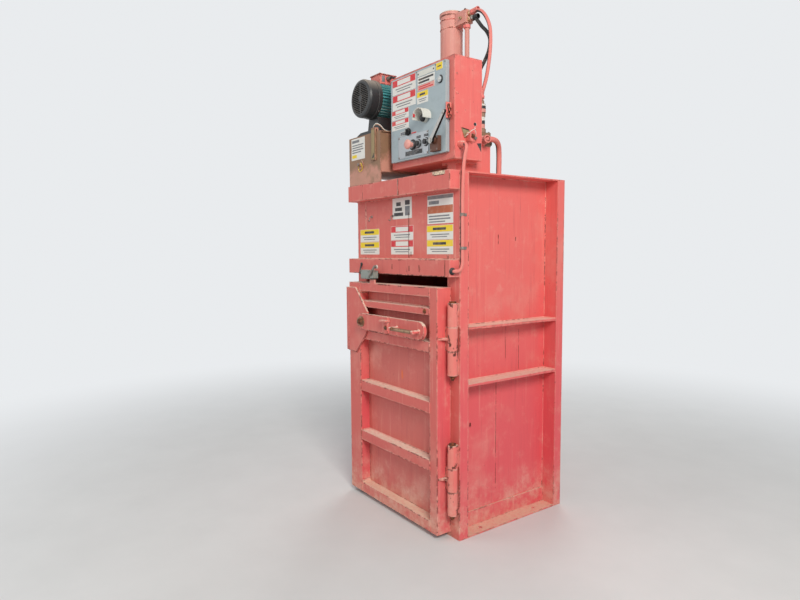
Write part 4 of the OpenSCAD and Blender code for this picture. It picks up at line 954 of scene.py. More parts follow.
class BALER_OT_hoses(bpy.types.Operator):
    """Lays the hydraulic hoses and the conduit with their fittings"""
    bl_idname = "baler.hoses"
    bl_label = "Hoses and conduit"

    def execute(self, context):
        radius = context.scene.baler_trim.hose_radius
        hose("cap_hose_black", "cap_hoses", CAP_HOSE_BLACK, radius, "hose_rubber", "hose_black")
        hose("cap_hose_pink", "cap_hoses", CAP_HOSE_PINK, radius, "hose_overspray_and_lit_side", "hose_pink", "side_paint")
        hose("rod_hose_pink", "rod_hose", ROD_HOSE, 0.014, "hose_overspray_and_lit_side", "hose_pink", "side_paint")
        hose("pressure_hose", "power_hoses", PRESSURE_HOSE, 0.011, "hose_rubber", "hose_black")
        hose("return_hose", "power_hoses", RETURN_HOSE, 0.011, "hose_rubber", "hose_black")
        line = smooth_line(CONDUIT, 6)
        shape = Shape()
        shape.tube(line, 0.0092, "hose_overspray_and_lit_side", sides=20)
        shape.turned([(0.008, -0.001), (0.0165, -0.001), (0.0165, 0.009), (0.0145, 0.012), (0.0145, 0.020),
                      (0.0105, 0.026), (0.008, 0.026)], line[0], (1, 0, 0), "side_paint", sides=8)
        shape.turned([(0.008, -0.001), (0.017, -0.001), (0.018, 0.003), (0.0165, 0.007), (0.0125, 0.012),
                      (0.008, 0.012)], line[-1], (1, 0, 0), "black_plastic", sides=24)
        for height in (1.62, 1.46):
            shape.collar(0.0088, 0.0112, -0.007, 0.007, (0.477, -0.375, height), (0, 0, 1), "dull_steel", sides=20)
            for near, far in (((0.4652, -0.3585), (0.4672, -0.3380)), ((0.4652, -0.3655), (0.4780, -0.3635)),
                              ((0.4652, -0.3655), (0.4672, -0.3585))):
                shape.block((*near, height - 0.007), (*far, height + 0.007), "dull_steel")
        made = shape.finish("conduit_run", "frame", "hose_pink", bevel=0.0004)
        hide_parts("conduit")
        return {"FINISHED"}


# Blank signs: left, right, foot, head and the colour of the band
HEADER_SIGNS = [
    (-0.438, -0.234, 1.504, 1.577, "sign_yellow"), (-0.438, -0.234, 1.430, 1.502, "sign_yellow"),
    (-0.115, 0.092, 1.509, 1.585, "sign_red"), (-0.115, 0.092, 1.430, 1.507, "sign_red"),
    (0.209, 0.416, 1.505, 1.576, "sign_yellow"), (0.209, 0.416, 1.431, 1.503, "sign_yellow")]
DOOR_SIGNS = [
    (-0.059, 0.146, 2.278, 2.354, "sign_red"), (-0.059, 0.146, 2.198, 2.275, "sign_red"),
    (-0.066, 0.085, 2.146, 2.196, "sign_red"), (-0.066, 0.085, 2.092, 2.143, "sign_red"),
    (0.158, 0.248, 2.191, 2.250, "sign_yellow")]


def blank_sign(shape, left, right, low, high, face, colour):
    """A blank sign: a coloured band over a white field with grey bars for its lines."""
    if colour == "sign_red":
        parts = [(0.54, 0.98, 0.01, 0.22, colour), (0.54, 0.98, 0.78, 0.99, colour),
                 (0.54, 0.60, 0.22, 0.78, colour), (0.92, 0.98, 0.22, 0.78, colour)]
    else:
        parts = [(0.54, 0.98, 0.01, 0.99, colour), (0.66, 0.84, 0.24, 0.74, "sign_black")]
    parts += [(0.32, 0.39, 0.14, 0.86, "sign_ink"), (0.16, 0.22, 0.20, 0.78, "sign_ink")]
    sign(shape, left, right, low, high, face, parts)


class BALER_OT_header_signs(bpy.types.Operator):
    """Fixes the blank signs to the header over the door"""
    bl_idname = "baler.header_signs"
    bl_label = "Header signs"

    def execute(self, context):
        shape = Shape()
        for left, right, low, high, colour in HEADER_SIGNS:
            blank_sign(shape, left, right, low, high, HEADER_FACE, colour)
        # The grey band across the top of this sign is painted shadow of the beam above it.
        sign(shape, 0.214, 0.416, 1.584, 1.727, HEADER_FACE, [
            (0.86, 0.98, 0.01, 0.99, "sign_ink"), (0.36, 0.62, 0.01, 0.99, "sign_orange"),
            (0.68, 0.80, 0.06, 0.46, "sign_ink"), (0.24, 0.29, 0.06, 0.86, "sign_ink"),
            (0.14, 0.19, 0.06, 0.90, "sign_ink"), (0.05, 0.09, 0.06, 0.70, "sign_ink")])
        sign(shape, -0.098, 0.080, 1.623, 1.736, HEADER_FACE, [
            (0.14, 0.30, 0.08, 0.56, "sign_black"), (0.38, 0.54, 0.14, 0.50, "sign_black"),
            (0.62, 0.80, 0.20, 0.44, "sign_black"), (0.14, 0.58, 0.66, 0.90, "sign_ink"),
            (0.64, 0.86, 0.66, 0.90, "sign_black")])
        shape.finish("header_signs", "frame", "white_plastic")
        hooks = Shape()
        for x, z in ((-0.309, 1.648), (-0.095, 1.642)):
            bend = [(x, HEADER_FACE - out, z - down) for out, down in (
                (0.0, 0.0), (0.010, 0.0), (0.016, 0.006), (0.016, 0.018), (0.022, 0.026), (0.030, 0.020))]
            hooks.tube(smooth_line(bend, 5), 0.0022, "dull_steel", sides=10)
            hooks.turned([(0.003, 0.0), (0.008, 0.0), (0.008, 0.0015), (0.006, 0.0028), (0.003, 0.0028)],
                         (x, HEADER_FACE, z), (0, -1, 0), "dull_steel", sides=20)
        hooks.finish("header_hooks", "frame", "bare_steel")
        return {"FINISHED"}


# Rust runs and joints on the front faces: middle, half width, foot, head, face and finish
RUNS = [
    (0.053, 0.0030, 1.412, 1.655, HEADER_FACE - 0.0012, "rust_stain"),
    (0.046, 0.0045, 1.742, 1.828, BEAM_FACE, "rust_stain"),
    (0.040, 0.0016, 1.742, 1.828, BEAM_FACE, "pale_stain"),
    (-0.306, 0.0012, 1.742, 1.828, BEAM_FACE, "rust_stain"),
    (0.430, 0.0024, 1.326, 1.404, BEAM_FACE, "rust_stain"),
    (-0.015, 0.0030, 1.352, 1.378, BEAM_FACE, "rust_stain"),
    (0.118, 0.0034, 1.336, 1.362, BEAM_FACE, "rust_stain"),
    (0.140, 0.0030, 1.344, 1.372, BEAM_FACE, "rust_stain"),
    (0.226, 0.0034, 1.340, 1.376, BEAM_FACE, "rust_stain"),
    (0.238, 0.0026, 1.352, 1.368, BEAM_FACE, "rust_stain"),
    (0.0720, 0.0026, 1.420, 1.445, HEADER_FACE - 0.0012, "rust_stain"),
    (-0.062, 0.0600, 1.2630, 1.2675, DOOR_FACE, "chip_stain"),
    (0.085, 0.0140, 1.2600, 1.2675, DOOR_FACE, "chip_stain"),
    (0.255, 0.0380, 1.2630, 1.2675, DOOR_FACE, "chip_stain"),
    (0.382, 0.0490, 1.8120, 1.8295, BEAM_FACE, "cream_stain"),
    (0.382, 0.0420, 1.8090, 1.8125, BEAM_FACE - 0.0004, "chip_stain"),
    (0.130, 0.3000, 1.3222, 1.3262, BEAM_FACE, "chip_stain"),
    (-0.180, 0.2400, 1.3222, 1.3250, BEAM_FACE, "chip_stain"),
    (0.060, 0.0200, 1.3990, 1.4040, BEAM_FACE, "chip_stain")]

# Joint lines and rust spots on the right wall: y, half width, foot, head and finish
SIDE_RUNS = [
    (-0.0492, 0.0009, 0.165, 0.760, "rust_stain"), (-0.2347, 0.0060, 0.5372, 0.5584, "chip_stain"),
    (-0.040, 0.0024, 1.470, 1.530, "rust_stain"), (0.090, 0.0022, 1.500, 1.520, "rust_stain"),
    (0.120, 0.0009, 0.800, 1.020, "rust_stain"), (0.020, 0.0007, 0.840, 1.040, "rust_stain")]


class BALER_OT_runs(bpy.types.Operator):
    """Lays the rust runs and joint lines over the front's paint"""
    bl_idname = "baler.runs"
    bl_label = "Rust runs"

    def execute(self, context):
        shapes = {"frame": Shape(), "door": Shape()}
        for middle, half, foot, head, face, finish in RUNS:
            shape = shapes["door" if face == DOOR_FACE else "frame"]
            shape.block((middle - half, face - 0.0003, foot), (middle + half, face, head), finish)
        for y, half, foot, head, finish in SIDE_RUNS:
            shapes["frame"].block((SIDE_PANEL, y - half, foot), (SIDE_PANEL + 0.0003, y + half, head), finish)
        for body, shape in shapes.items():
            shape.finish(body + "_runs", body, "body_paint")
        return {"FINISHED"}


class BALER_OT_control_signs(bpy.types.Operator):
    """Fixes the blank signs and plates to the grey door, and paints a highlight down its right edge"""
    bl_idname = "baler.control_signs"
    bl_label = "Control door signs"

    def execute(self, context):
        face = GREY_DOOR_FACE
        shape = Shape()
        for left, right, low, high, colour in DOOR_SIGNS:
            blank_sign(shape, left, right, low, high, face, colour)
        sign(shape, 0.163, 0.300, 2.284, 2.321, face, [
            (0.58, 0.84, 0.06, 0.94, "sign_black"), (0.16, 0.42, 0.06, 0.70, "sign_black")])
        sign(shape, 0.163, 0.300, 2.254, 2.282, face, [
            (0.02, 0.98, 0.01, 0.99, "faded_plastic"), (0.22, 0.44, 0.08, 0.92, "sign_red"),
            (0.60, 0.80, 0.08, 0.76, "sign_red")])
        sign(shape, 0.312, 0.362, 2.322, 2.357, face, [
            (0.04, 0.96, 0.03, 0.97, "sign_yellow"), (0.40, 0.58, 0.22, 0.78, "sign_black")])
        sign(shape, 0.066, 0.094, 2.074, 2.090, face, [(0.10, 0.90, 0.06, 0.94, "sign_black")])
        sign(shape, 0.108, 0.152, 2.053, 2.060, face, [(0.08, 0.92, 0.03, 0.97, "sign_red")])
        sign(shape, 0.010, 0.050, 2.055, 2.076, face, [(0.10, 0.90, 0.05, 0.95, "sign_ink")])
        door = [Vector(corner) for corner in NODES["control_door"].bound_box]
        foot, head = min(c.z for c in door) + 0.002, max(c.z for c in door) - 0.002
        # Painted highlight: a pale strip down the door's right edge, where light catches it.
        shape.block((0.3852, face - 0.0006, foot), (0.3878, face, head), "pale_plastic")
        shape.finish("control_signs", "box_door", "white_plastic")
        plate = Shape()
        plate.block((0.163, face - 0.0012, 2.325), (0.300, face, 2.351), "pale_plastic")
        for x in (0.170, 0.293):
            plate.turned([(0.0, 0.0), (0.0042, 0.0), (0.0042, 0.001), (0.003, 0.0022), (0.0, 0.0024)],
                         (x, face - 0.0012, 2.338), (0, -1, 0), "sign_black", sides=16)
        plate.finish("blank_nameplate", "box_door", "white_plastic", bevel=0.0004)
        return {"FINISHED"}


class BALER_OT_control_trim(bpy.types.Operator):
    """Adds the rings and legends of the control door, its key slot, lamp, button caps and selector mark"""
    bl_idname = "baler.control_trim"
    bl_label = "Control door trim"

    def execute(self, context):
        shape = Shape()
        for x, inner, outer in ((ESTOP_X, 0.0185, 0.0285), (START_X, 0.0182, 0.0225), (RETURN_X, 0.0182, 0.0225)):
            shape.turned([(inner, 0.0), (outer, 0.0), (outer, 0.0012), (outer - 0.002, 0.0022), (inner, 0.0022)],
                         (x, BUTTON_FACE, BUTTON_Z), (0, -1, 0), "black_plastic", sides=40)
        for x in (START_X, RETURN_X):
            shape.block((x - 0.017, BUTTON_FACE - 0.0010, BUTTON_Z + 0.027),
                        (x + 0.017, BUTTON_FACE, BUTTON_Z + 0.039), "black_plastic")
            shape.block((x - 0.013, BUTTON_FACE - 0.0014, BUTTON_Z + 0.031),
                        (x + 0.013, BUTTON_FACE, BUTTON_Z + 0.035), "sign_ink")
        shape.block((0.061, BUTTON_FACE - 0.0021, 1.944), (0.205, BUTTON_FACE - 0.0014, 1.966), "black_plastic")
        for k in range(3):
            shape.block((0.066, BUTTON_FACE - 0.0024, 1.9475 + 0.006 * k),
                        (0.150 + 0.014 * k, BUTTON_FACE - 0.0014, 1.9500 + 0.006 * k), "sign_ink")
        shape.turned([(0.0155, 0.0), (0.0225, 0.0), (0.0225, 0.001), (0.0215, 0.0016), (0.0155, 0.0016)],
                     (SELECTOR_X, GREY_DOOR_FACE, SELECTOR_Z), (0, -1, 0), "black_plastic", sides=32)
        shape.turned([(0.0155, 0.0), (0.0200, 0.0), (0.0200, 0.0016), (0.0185, 0.003), (0.0155, 0.003)],
                     (LOCK_X, GREY_DOOR_FACE, LOCK_Z), (0, -1, 0), "black_plastic", sides=32)
        shape.finish("control_trim", "box_door", "black_plastic", bevel=0.0003)
        slot = Shape()
        # The black slot stands for the keyway opening: painted shade.
        slot.block((LOCK_X - 0.0006, GREY_DOOR_FACE - 0.0084, LOCK_Z - 0.006),
                   (LOCK_X + 0.0006, GREY_DOOR_FACE - 0.0076, LOCK_Z + 0.006), "black_plastic")
        slot.turned([(0.0, 0.0), (0.0062, 0.0), (0.0062, 0.0003), (0.0, 0.0004)],
                    (LOCK_X, GREY_DOOR_FACE - 0.008, LOCK_Z), (0, -1, 0), "pale_plastic", sides=24)
        slot.finish("key_slot", "lock", "bare_steel")
        lamp = Shape()
        # The lens under the hood is black: painted shade under the hood.
        lamp.turned([(0.0, 0.0), (0.0185, 0.0), (0.0185, 0.004), (0.015, 0.012), (0.008, 0.017), (0.0, 0.018)],
                    (0.228, GREY_DOOR_FACE - 0.016, 2.110), (0, -1, 0), "black_plastic", sides=32)
        lamp.block((0.190, GREY_DOOR_FACE - 0.0525, 2.118), (0.1925, GREY_DOOR_FACE - 0.040, 2.136), "sign_red")
        lamp.finish("indicator_lens", "box_door", "white_plastic")
        for name, x in (("start", START_X), ("return", RETURN_X)):
            cap = Shape()
            cap.turned([(0.0, 0.0), (0.0118, 0.0), (0.0118, 0.0008), (0.0104, 0.0016), (0.0, 0.0018)],
                       (x, BUTTON_FACE - 0.016, BUTTON_Z), (0, -1, 0), "black_plastic", sides=32)
            cap.finish(name + "_cap", name, "black_plastic")
        mark = Shape()
        mark.block((SELECTOR_X - 0.0012, GREY_DOOR_FACE - 0.0225, SELECTOR_Z + 0.001),
                   (SELECTOR_X + 0.0012, GREY_DOOR_FACE - 0.0215, SELECTOR_Z + 0.013), "sign_white")
        mark.finish("selector_mark", "selector", "white_plastic")
        return {"FINISHED"}


def along_x(x0, x1, y, z):
    """A join that runs across the machine."""
    return ((x0, y, z), (x1, y, z))


def upright(x, y, z0, z1):
    """A join that runs upwards."""
    return ((x, y, z0), (x, y, z1))


def along_depth(x, y0, y1, z):
    """A join that runs from front to back."""
    return ((x, y0, z), (x, y1, z))


class BALER_OT_welds(bpy.types.Operator):
    """Lays the weld beads along the joins of the press body, door and latch"""
    bl_idname = "baler.welds"
    bl_label = "Welds"

    def execute(self, context):
        body, door = [], []
        for z in (1.4065, 1.7395):
            body += [along_x(-0.463, 0.463, HEADER_FACE - WELD_LIFT, z)]
        body += [along_x(-0.463, 0.463, HEADER_FACE - WELD_LIFT, 1.3215)]
        for side in (-1, 1):
            for top, under in SHELVES:
                for y in WALL_ENDS:
                    body += [along_depth(side * WALL_WELD_X, -0.320, 0.322, top + WELD_LIFT),
                             ((side * 0.380, y, top + WELD_LIFT), (side * 0.463, y, top + WELD_LIFT)),
                             ((side * 0.380, y, under - WELD_LIFT), (side * 0.463, y, under - WELD_LIFT))]
            for y in WALL_ENDS:
                body += [upright(side * WALL_WELD_X, y, 0.10, 0.760), upright(side * WALL_WELD_X, y, 0.800, 1.050),
                         upright(side * WALL_WELD_X, y, 1.085, 1.815)]
            body += [along_depth(side * WALL_WELD_X, -0.320, 0.322, 1.8225)]
        for z in KNUCKLE_FEET:
            for k in (0, 2):
                z0 = z + k * HINGE_LENGTH / 3
                for x in (0.4285, 0.4575):
                    body.append(upright(x, HEADER_FACE - WELD_LIFT, z0 + 0.002, z0 + 0.116))
        body += [upright(-0.4565, HEADER_FACE - WELD_LIFT, 0.864, 1.236),
                 upright(-0.4455, HEADER_FACE - WELD_LIFT, 0.864, 1.236)]
        body += [along_x(-0.110, 0.110, -0.1475, DECK_WELD_Z), along_x(-0.110, 0.110, 0.0735, DECK_WELD_Z),
                 along_depth(-0.1105, -0.146, 0.072, DECK_WELD_Z), along_depth(0.1105, -0.146, 0.072, DECK_WELD_Z),
                 along_x(-0.446, -0.120, -0.4385, DECK_WELD_Z), along_x(-0.446, -0.120, 0.0055, DECK_WELD_Z),
                 along_x(0.300, 0.362, -0.0835, DECK_WELD_Z), along_depth(0.2995, -0.202, -0.084, DECK_WELD_Z),
                 along_depth(0.3625, -0.202, -0.084, DECK_WELD_Z)]
        body += [upright(x, TANK_FRONT + 0.006, 1.890, 2.098) for x in (-0.4385, -0.1275)]
        weld_set("body_welds", "frame", "body_paint", body)
        for z, height in DOOR_RIBS:
            left = -0.310 if z != 0.944 else -0.200
            door += [along_x(left, 0.339, -0.4115, z + height + WELD_LIFT),
                     along_x(left, 0.339, -0.4115, z - WELD_LIFT),
                     ((0.3385, -0.466, z + height + WELD_LIFT), (0.3385, -0.412, z + height + WELD_LIFT)),
                     upright(0.3390, DOOR_FACE - 0.0003, z + 0.002, z + height - 0.002)]
            if left == -0.310:
                door += [((-0.3095, -0.466, z + height + WELD_LIFT), (-0.3095, -0.412, z + height + WELD_LIFT)),
                         upright(-0.3100, DOOR_FACE - 0.0003, z + 0.002, z + height - 0.002)]
        for x in DOOR_BAY:
            door += [upright(x, DOOR_FACE - 0.0003, 1.224, 1.267), upright(x, DOOR_FACE - 0.0003, 0.028, 0.079)]
        for (x0, z0), (x1, z1) in zip(LATCH_PLATE, LATCH_PLATE[1:]):
            if max(x0, x1) < -0.300:
                door.append(((x0, DOOR_FACE - WELD_LIFT, z0), (x1, DOOR_FACE - WELD_LIFT, z1)))
        for z in KNUCKLE_FEET:
            z0 = z + HINGE_LENGTH / 3
            door += [upright(0.3985, y, z0 + 0.002, z0 + 0.116) for y in (-0.4135, -0.4005)]
        door += [along_x(-0.203, -0.155, -0.4605, 1.2695)]
        weld_set("door_welds", "door", "door_paint", door)
        latch = [upright(-0.0145, -0.4972, 1.008, 1.092), upright(0.0205, -0.4972, 1.008, 1.092),
                 along_x(-0.024, 0.030, -0.4975, 1.0715)]
        weld_set("latch_welds", "latch", "door_paint", latch)
        return {"FINISHED"}


class BALER_OT_fasteners(bpy.types.Operator):
    """Fits the bolts and screws of every body"""
    bl_idname = "baler.fasteners"
    bl_label = "Fasteners"

    def execute(self, context):
        trim = context.scene.baler_trim
        screw, bolt = trim.screw_radius, trim.bolt_radius
        front, up, right = (0, -1, 0), (0, 0, 1), (1, 0, 0)
        heads("lid_screws", "frame", "rusty_steel",
              [(x, y, 2.105) for x in (-0.432, -0.134) for y in (-0.36, -0.24, -0.12, -0.02)], up, 0.0065, 0.005)
        heads("motor_foot_bolts", "frame", "dull_steel",
              [(x, y, 2.114) for x in (-0.370, -0.196) for y in (-0.405, -0.235)], up, bolt, 0.008)
        heads("pump_flange_bolts", "frame", "dull_steel",
              [(MOTOR_X + 0.078 * math.cos(a), -0.168, MOTOR_Z + 0.078 * math.sin(a)) for a in QUARTER_TURNS],
              (0, 1, 0), 0.009, 0.008)
        heads("pump_body_bolts", "frame", "dull_steel",
              [(MOTOR_X + dx, 0.006, MOTOR_Z + dz) for dx in (-0.034, 0.034) for dz in (-0.042, 0.042)],
              (0, 1, 0), 0.008, 0.008)
        heads("terminal_screws", "frame", "dull_steel",
              [(x, y, 2.450) for x in (-0.326, -0.240) for y in (-0.362, -0.258)], up, 0.004, 0.003, 12)
        cowl = [(math.cos(a), math.sin(a)) for a in QUARTER_TURNS]
        heads("cowl_screws", "frame", "dull_steel",
              [(MOTOR_X + 0.1065 * c, -0.392, MOTOR_Z + 0.1065 * s) for c, s in cowl],
              [(c, 0, s) for c, s in cowl], 0.004, 0.003, 12)
        heads("port_screws", "frame", "black_enamel",
              [(x, y, 2.744) for x in (0.085, 0.132) for y in (-0.054, -0.020)], up, 0.006, 0.007, 16)
        heads("valve_bolts", "frame", "dull_steel",
              [(x, y, 2.050) for x in (0.305, 0.355) for y in (-0.151, -0.089)], up, 0.006, 0.006)
        heads("switch_screws", "frame", "dull_steel",
              [(x, -0.487, z) for x in (-0.260, -0.188) for z in (1.301, 1.337)], front, 0.0036, 0.0026, 12)
        heads("box_side_screws", "frame", "side_paint",
              [(BOX_SIDE, -0.364, z) for z in (2.02, 2.11, 2.20, 2.29)], right, screw, 0.003, 12)
        heads("box_floor_bolts", "frame", "dull_steel",
              [(0.312, -0.2035, 1.960), (0.350, -0.2035, 1.960)], (0, 1, 0), 0.007, 0.006)
        heads("box_hinge_screws", "frame", "clean_steel",
              [(-0.088, -0.3805, z + dz) for z in (1.971, 2.248) for dz in (0.011, 0.055)],
              front, 0.0022, 0.0014, 12)
        heads("door_top_screws", "box_door", "dull_steel",
              [(x, GREY_DOOR_FACE, 2.3525) for x in (-0.067, 0.153, 0.306, 0.378)], front, 0.0032, 0.0024, 12)
        heads("button_plate_screws", "box_door", "dull_steel",
              [(x, BUTTON_FACE, z) for x in (0.001, 0.245) for z in (1.942, 2.044)], front, 0.0038, 0.0026, 12)
        heads("switch_base_screws", "box_door", "dull_steel",
              [(x, -0.423, z) for x in (0.295, 0.343) for z in (1.943, 1.999)], front, 0.0035, 0.0025, 12)
        heads("rib_bolt", "door", "rusty_steel", [(0.300, DOOR_FACE, 1.1485)], front, 0.009, 0.007)
        heads("strap_bolt", "latch", "rusty_steel", [(0.003, -0.503, 1.038)], front, 0.009, 0.007)
        return {"FINISHED"}


class BALER_OT_motor_trim(bpy.types.Operator):
    """Adds the motor's cable glands, cables, blank plates and lifting eye"""
    bl_idname = "baler.motor_trim"
    bl_label = "Motor trim"

    def execute(self, context):
        shape = Shape()
        gland = [(0.006, 0.0), (0.013, 0.0), (0.013, 0.008), (0.0115, 0.010), (0.0115, 0.020), (0.009, 0.026),
                 (0.006, 0.026)]
        shape.turned(gland, (-0.237, -0.310, 2.425), (1, 0, 0), "dull_steel", sides=12)
        cable = [(-0.222, -0.310, 2.425), (-0.195, -0.310, 2.424), (-0.166, -0.306, 2.408),
                 (-0.148, -0.300, 2.372), (-0.142, -0.296, 2.310), (-0.140, -0.292, 2.230),
                 (-0.136, -0.290, 2.160), (-0.122, -0.290, 2.112), (-0.106, -0.290, 2.100),
                 (-0.095, -0.290, 2.099)]
        shape.tube(smooth_line(cable, 5), 0.0062, "hose_rubber", sides=14)
        shape.turned(gland, (-0.095, -0.290, 2.099), (-1, 0, 0), "dull_steel", sides=12)
        eye = [(MOTOR_X + 0.014 * math.cos(a), -0.215, 2.414 + 0.014 * math.sin(a)) for a in full_turn(24)]
        shape.tube(eye, 0.0042, "motor_enamel", sides=10)
        shape.turned([(0.0, -0.008), (0.010, -0.008), (0.010, -0.002), (0.005, 0.004), (0.0, 0.004)],
                     (MOTOR_X, -0.215, 2.400), (0, 0, 1), "motor_enamel", sides=20)
        shape.block((-0.2400, -0.352, 2.404), (-0.2368, -0.330, 2.440), "clean_steel")
        shape.finish("motor_cables", "frame", "hose_black", bevel=0.0003)
        wires = Shape()
        for k, (lift, finish) in enumerate(((0.0, "tank_paint"), (0.005, "pale_plastic"))):
            loop = [(x, y, z + lift) for x, y, z in (
                (-0.216 + 0.006 * k, -0.425, 2.116), (-0.198, -0.438, 2.128), (-0.176, -0.436, 2.146),
                (-0.160, -0.420, 2.140), (-0.152, -0.400, 2.118), (-0.148, -0.380, 2.109),
                (-0.150, -0.340, 2.108), (-0.158, -0.300, 2.108))]
            wires.tube(smooth_line(loop, 6), 0.0023, finish, sides=10)
        wires.finish("base_wires", "frame", "white_plastic")
        return {"FINISHED"}


class BALER_OT_tank_trim(bpy.types.Operator):
    """Adds the tank's blank plate, drain plug ring, strap face with a painted shadow at its foot, and breather"""
    bl_idname = "baler.tank_trim"
    bl_label = "Tank trim"

    def execute(self, context):
        shape = Shape()
        sign(shape, -0.421, -0.276, 1.976, 2.098, TANK_FRONT, [
            (0.80, 0.92, 0.06, 0.60, "sign_ink"), (0.66, 0.71, 0.06, 0.90, "sign_ink"),
            (0.55, 0.60, 0.06, 0.84, "sign_ink"), (0.44, 0.49, 0.06, 0.90, "sign_ink"),
            (0.33, 0.38, 0.06, 0.72, "sign_ink"), (0.10, 0.24, 0.06, 0.40, "sign_yellow")])
        shape.finish("tank_plate", "frame", "white_plastic")
        trim = Shape()
        plug = Vector((-0.320, TANK_FRONT - 0.014, 1.942))
        trim.turned([(0.0, 0.0), (0.0095, 0.0), (0.0095, 0.006), (0.008, 0.008), (0.0, 0.008)], plug, (0, -1, 0),
                    "dull_steel", sides=6)
        ring = [plug + Vector((0.004 + 0.021 * math.cos(a), 0.006 - 0.002 * math.sin(3 * a),
                               -0.014 + 0.024 * math.sin(a))) for a in full_turn(40)]
        trim.tube(ring, 0.0016, "sign_yellow", sides=8)
        strap_x0, strap_x1, strap_y = -0.195, -0.159, -0.455
        trim.block((strap_x0 + 0.001, strap_y - 0.0006, 1.956), (strap_x1 - 0.001, strap_y, 2.118), "strap_paint")
        # Painted shadow: the black triangle at the foot of the strap.
        trim.prism([(strap_x0 + 0.008, strap_y - 0.0012, 1.962), (strap_x1 - 0.008, strap_y - 0.0012, 1.966),
                    (strap_x1 - 0.010, strap_y - 0.0012, 1.990)], (0, 0.0006, 0), "sign_black")
        trim.turned([(0.0, 0.0), (0.0305, 0.0), (0.0305, 0.003), (0.027, 0.006), (0.010, 0.007), (0.0, 0.007)],
                    (-0.385, -0.065, 2.157), (0, 0, 1), "dull_steel", sides=32)
        trim.finish("tank_fittings", "frame", "bare_steel", bevel=0.0003)
        return {"FINISHED"}


# Paint bands round the valve stack: foot, head, radius and finish
VALVE_BANDS = [
    (2.073, 2.094, 0.0200, "cylinder_paint"), (2.094, 2.112, 0.0200, "black_plastic"),
    (2.112, 2.131, 0.0200, "pale_plastic"), (2.153, 2.170, 0.0240, "cylinder_paint"),
    (2.172, 2.184, 0.0240, "black_plastic"), (2.186, 2.195, 0.0240, "pale_plastic"),
    (2.215, 2.227, 0.0120, "cylinder_paint")]


class BALER_OT_cylinder_trim(bpy.types.Operator):
    """Adds the cylinder's seams, port adaptors and bleed screw"""
    bl_idname = "baler.cylinder_trim"
    bl_label = "Cylinder trim"

    def execute(self, context):
        shape = Shape()
        for z in (2.7195, 2.6745):
            shape.turned([(0.0615, -0.0035), (0.0642, -0.0028), (0.0652, 0.0), (0.0642, 0.0028), (0.0615, 0.0035)],
                         (0, CYLINDER_Y, z), (0, 0, 1), "body_paint", sides=64)
        shape.turned([(0.0755, 0.0), (0.0805, 0.0), (0.0785, 0.0035), (0.0760, 0.0045)],
                     (0, CYLINDER_Y, 1.8545), (0, 0, 1), "body_paint", sides=64)
        for z in (2.692, 2.724):
            shape.turned([(0.008, 0.0), (0.0155, 0.0), (0.0155, 0.010), (0.0135, 0.012), (0.008, 0.012)],
                         (0.1465, CYLINDER_Y, z), (1, 0, 0), "plated_fitting", sides=6)
        shape.turned([(0.0, 0.0), (0.0085, 0.0), (0.0085, 0.006), (0.0045, 0.008), (0.0045, 0.016), (0.0, 0.017)],
                     (0.108, -0.063, 2.706), (0, -1, 0), "plated_fitting", sides=6)
        for z in (1.900, 2.660):
            shape.turned([(0.0125, -0.009), (0.0205, -0.009), (0.0205, 0.008), (0.018, 0.010), (0.0125, 0.010)],
                         (0.1285, CYLINDER_Y, z), (0, 0, 1), "side_paint", sides=6)
        for z in (2.10, 2.40):
            shape.collar(0.0128, 0.0152, -0.010, 0.010, (0.1285, CYLINDER_Y, z), (0, 0, 1), "dull_steel", sides=24)
            shape.block((0.060, CYLINDER_Y - 0.0025, z - 0.009), (0.1165, CYLINDER_Y + 0.0025, z + 0.009),
                        "side_paint")
        shape.finish("cylinder_trim", "frame", "body_paint", bevel=0.0005)
        bands = Shape()
        for foot, head, radius, finish in VALVE_BANDS:
            bands.collar(radius - 0.0004, radius + 0.0006, 0.0, head - foot, (0.330, -0.120, foot), (0, 0, 1),
                         finish, sides=40)
        bands.finish("valve_bands", "frame", "tank_paint")
        return {"FINISHED"}


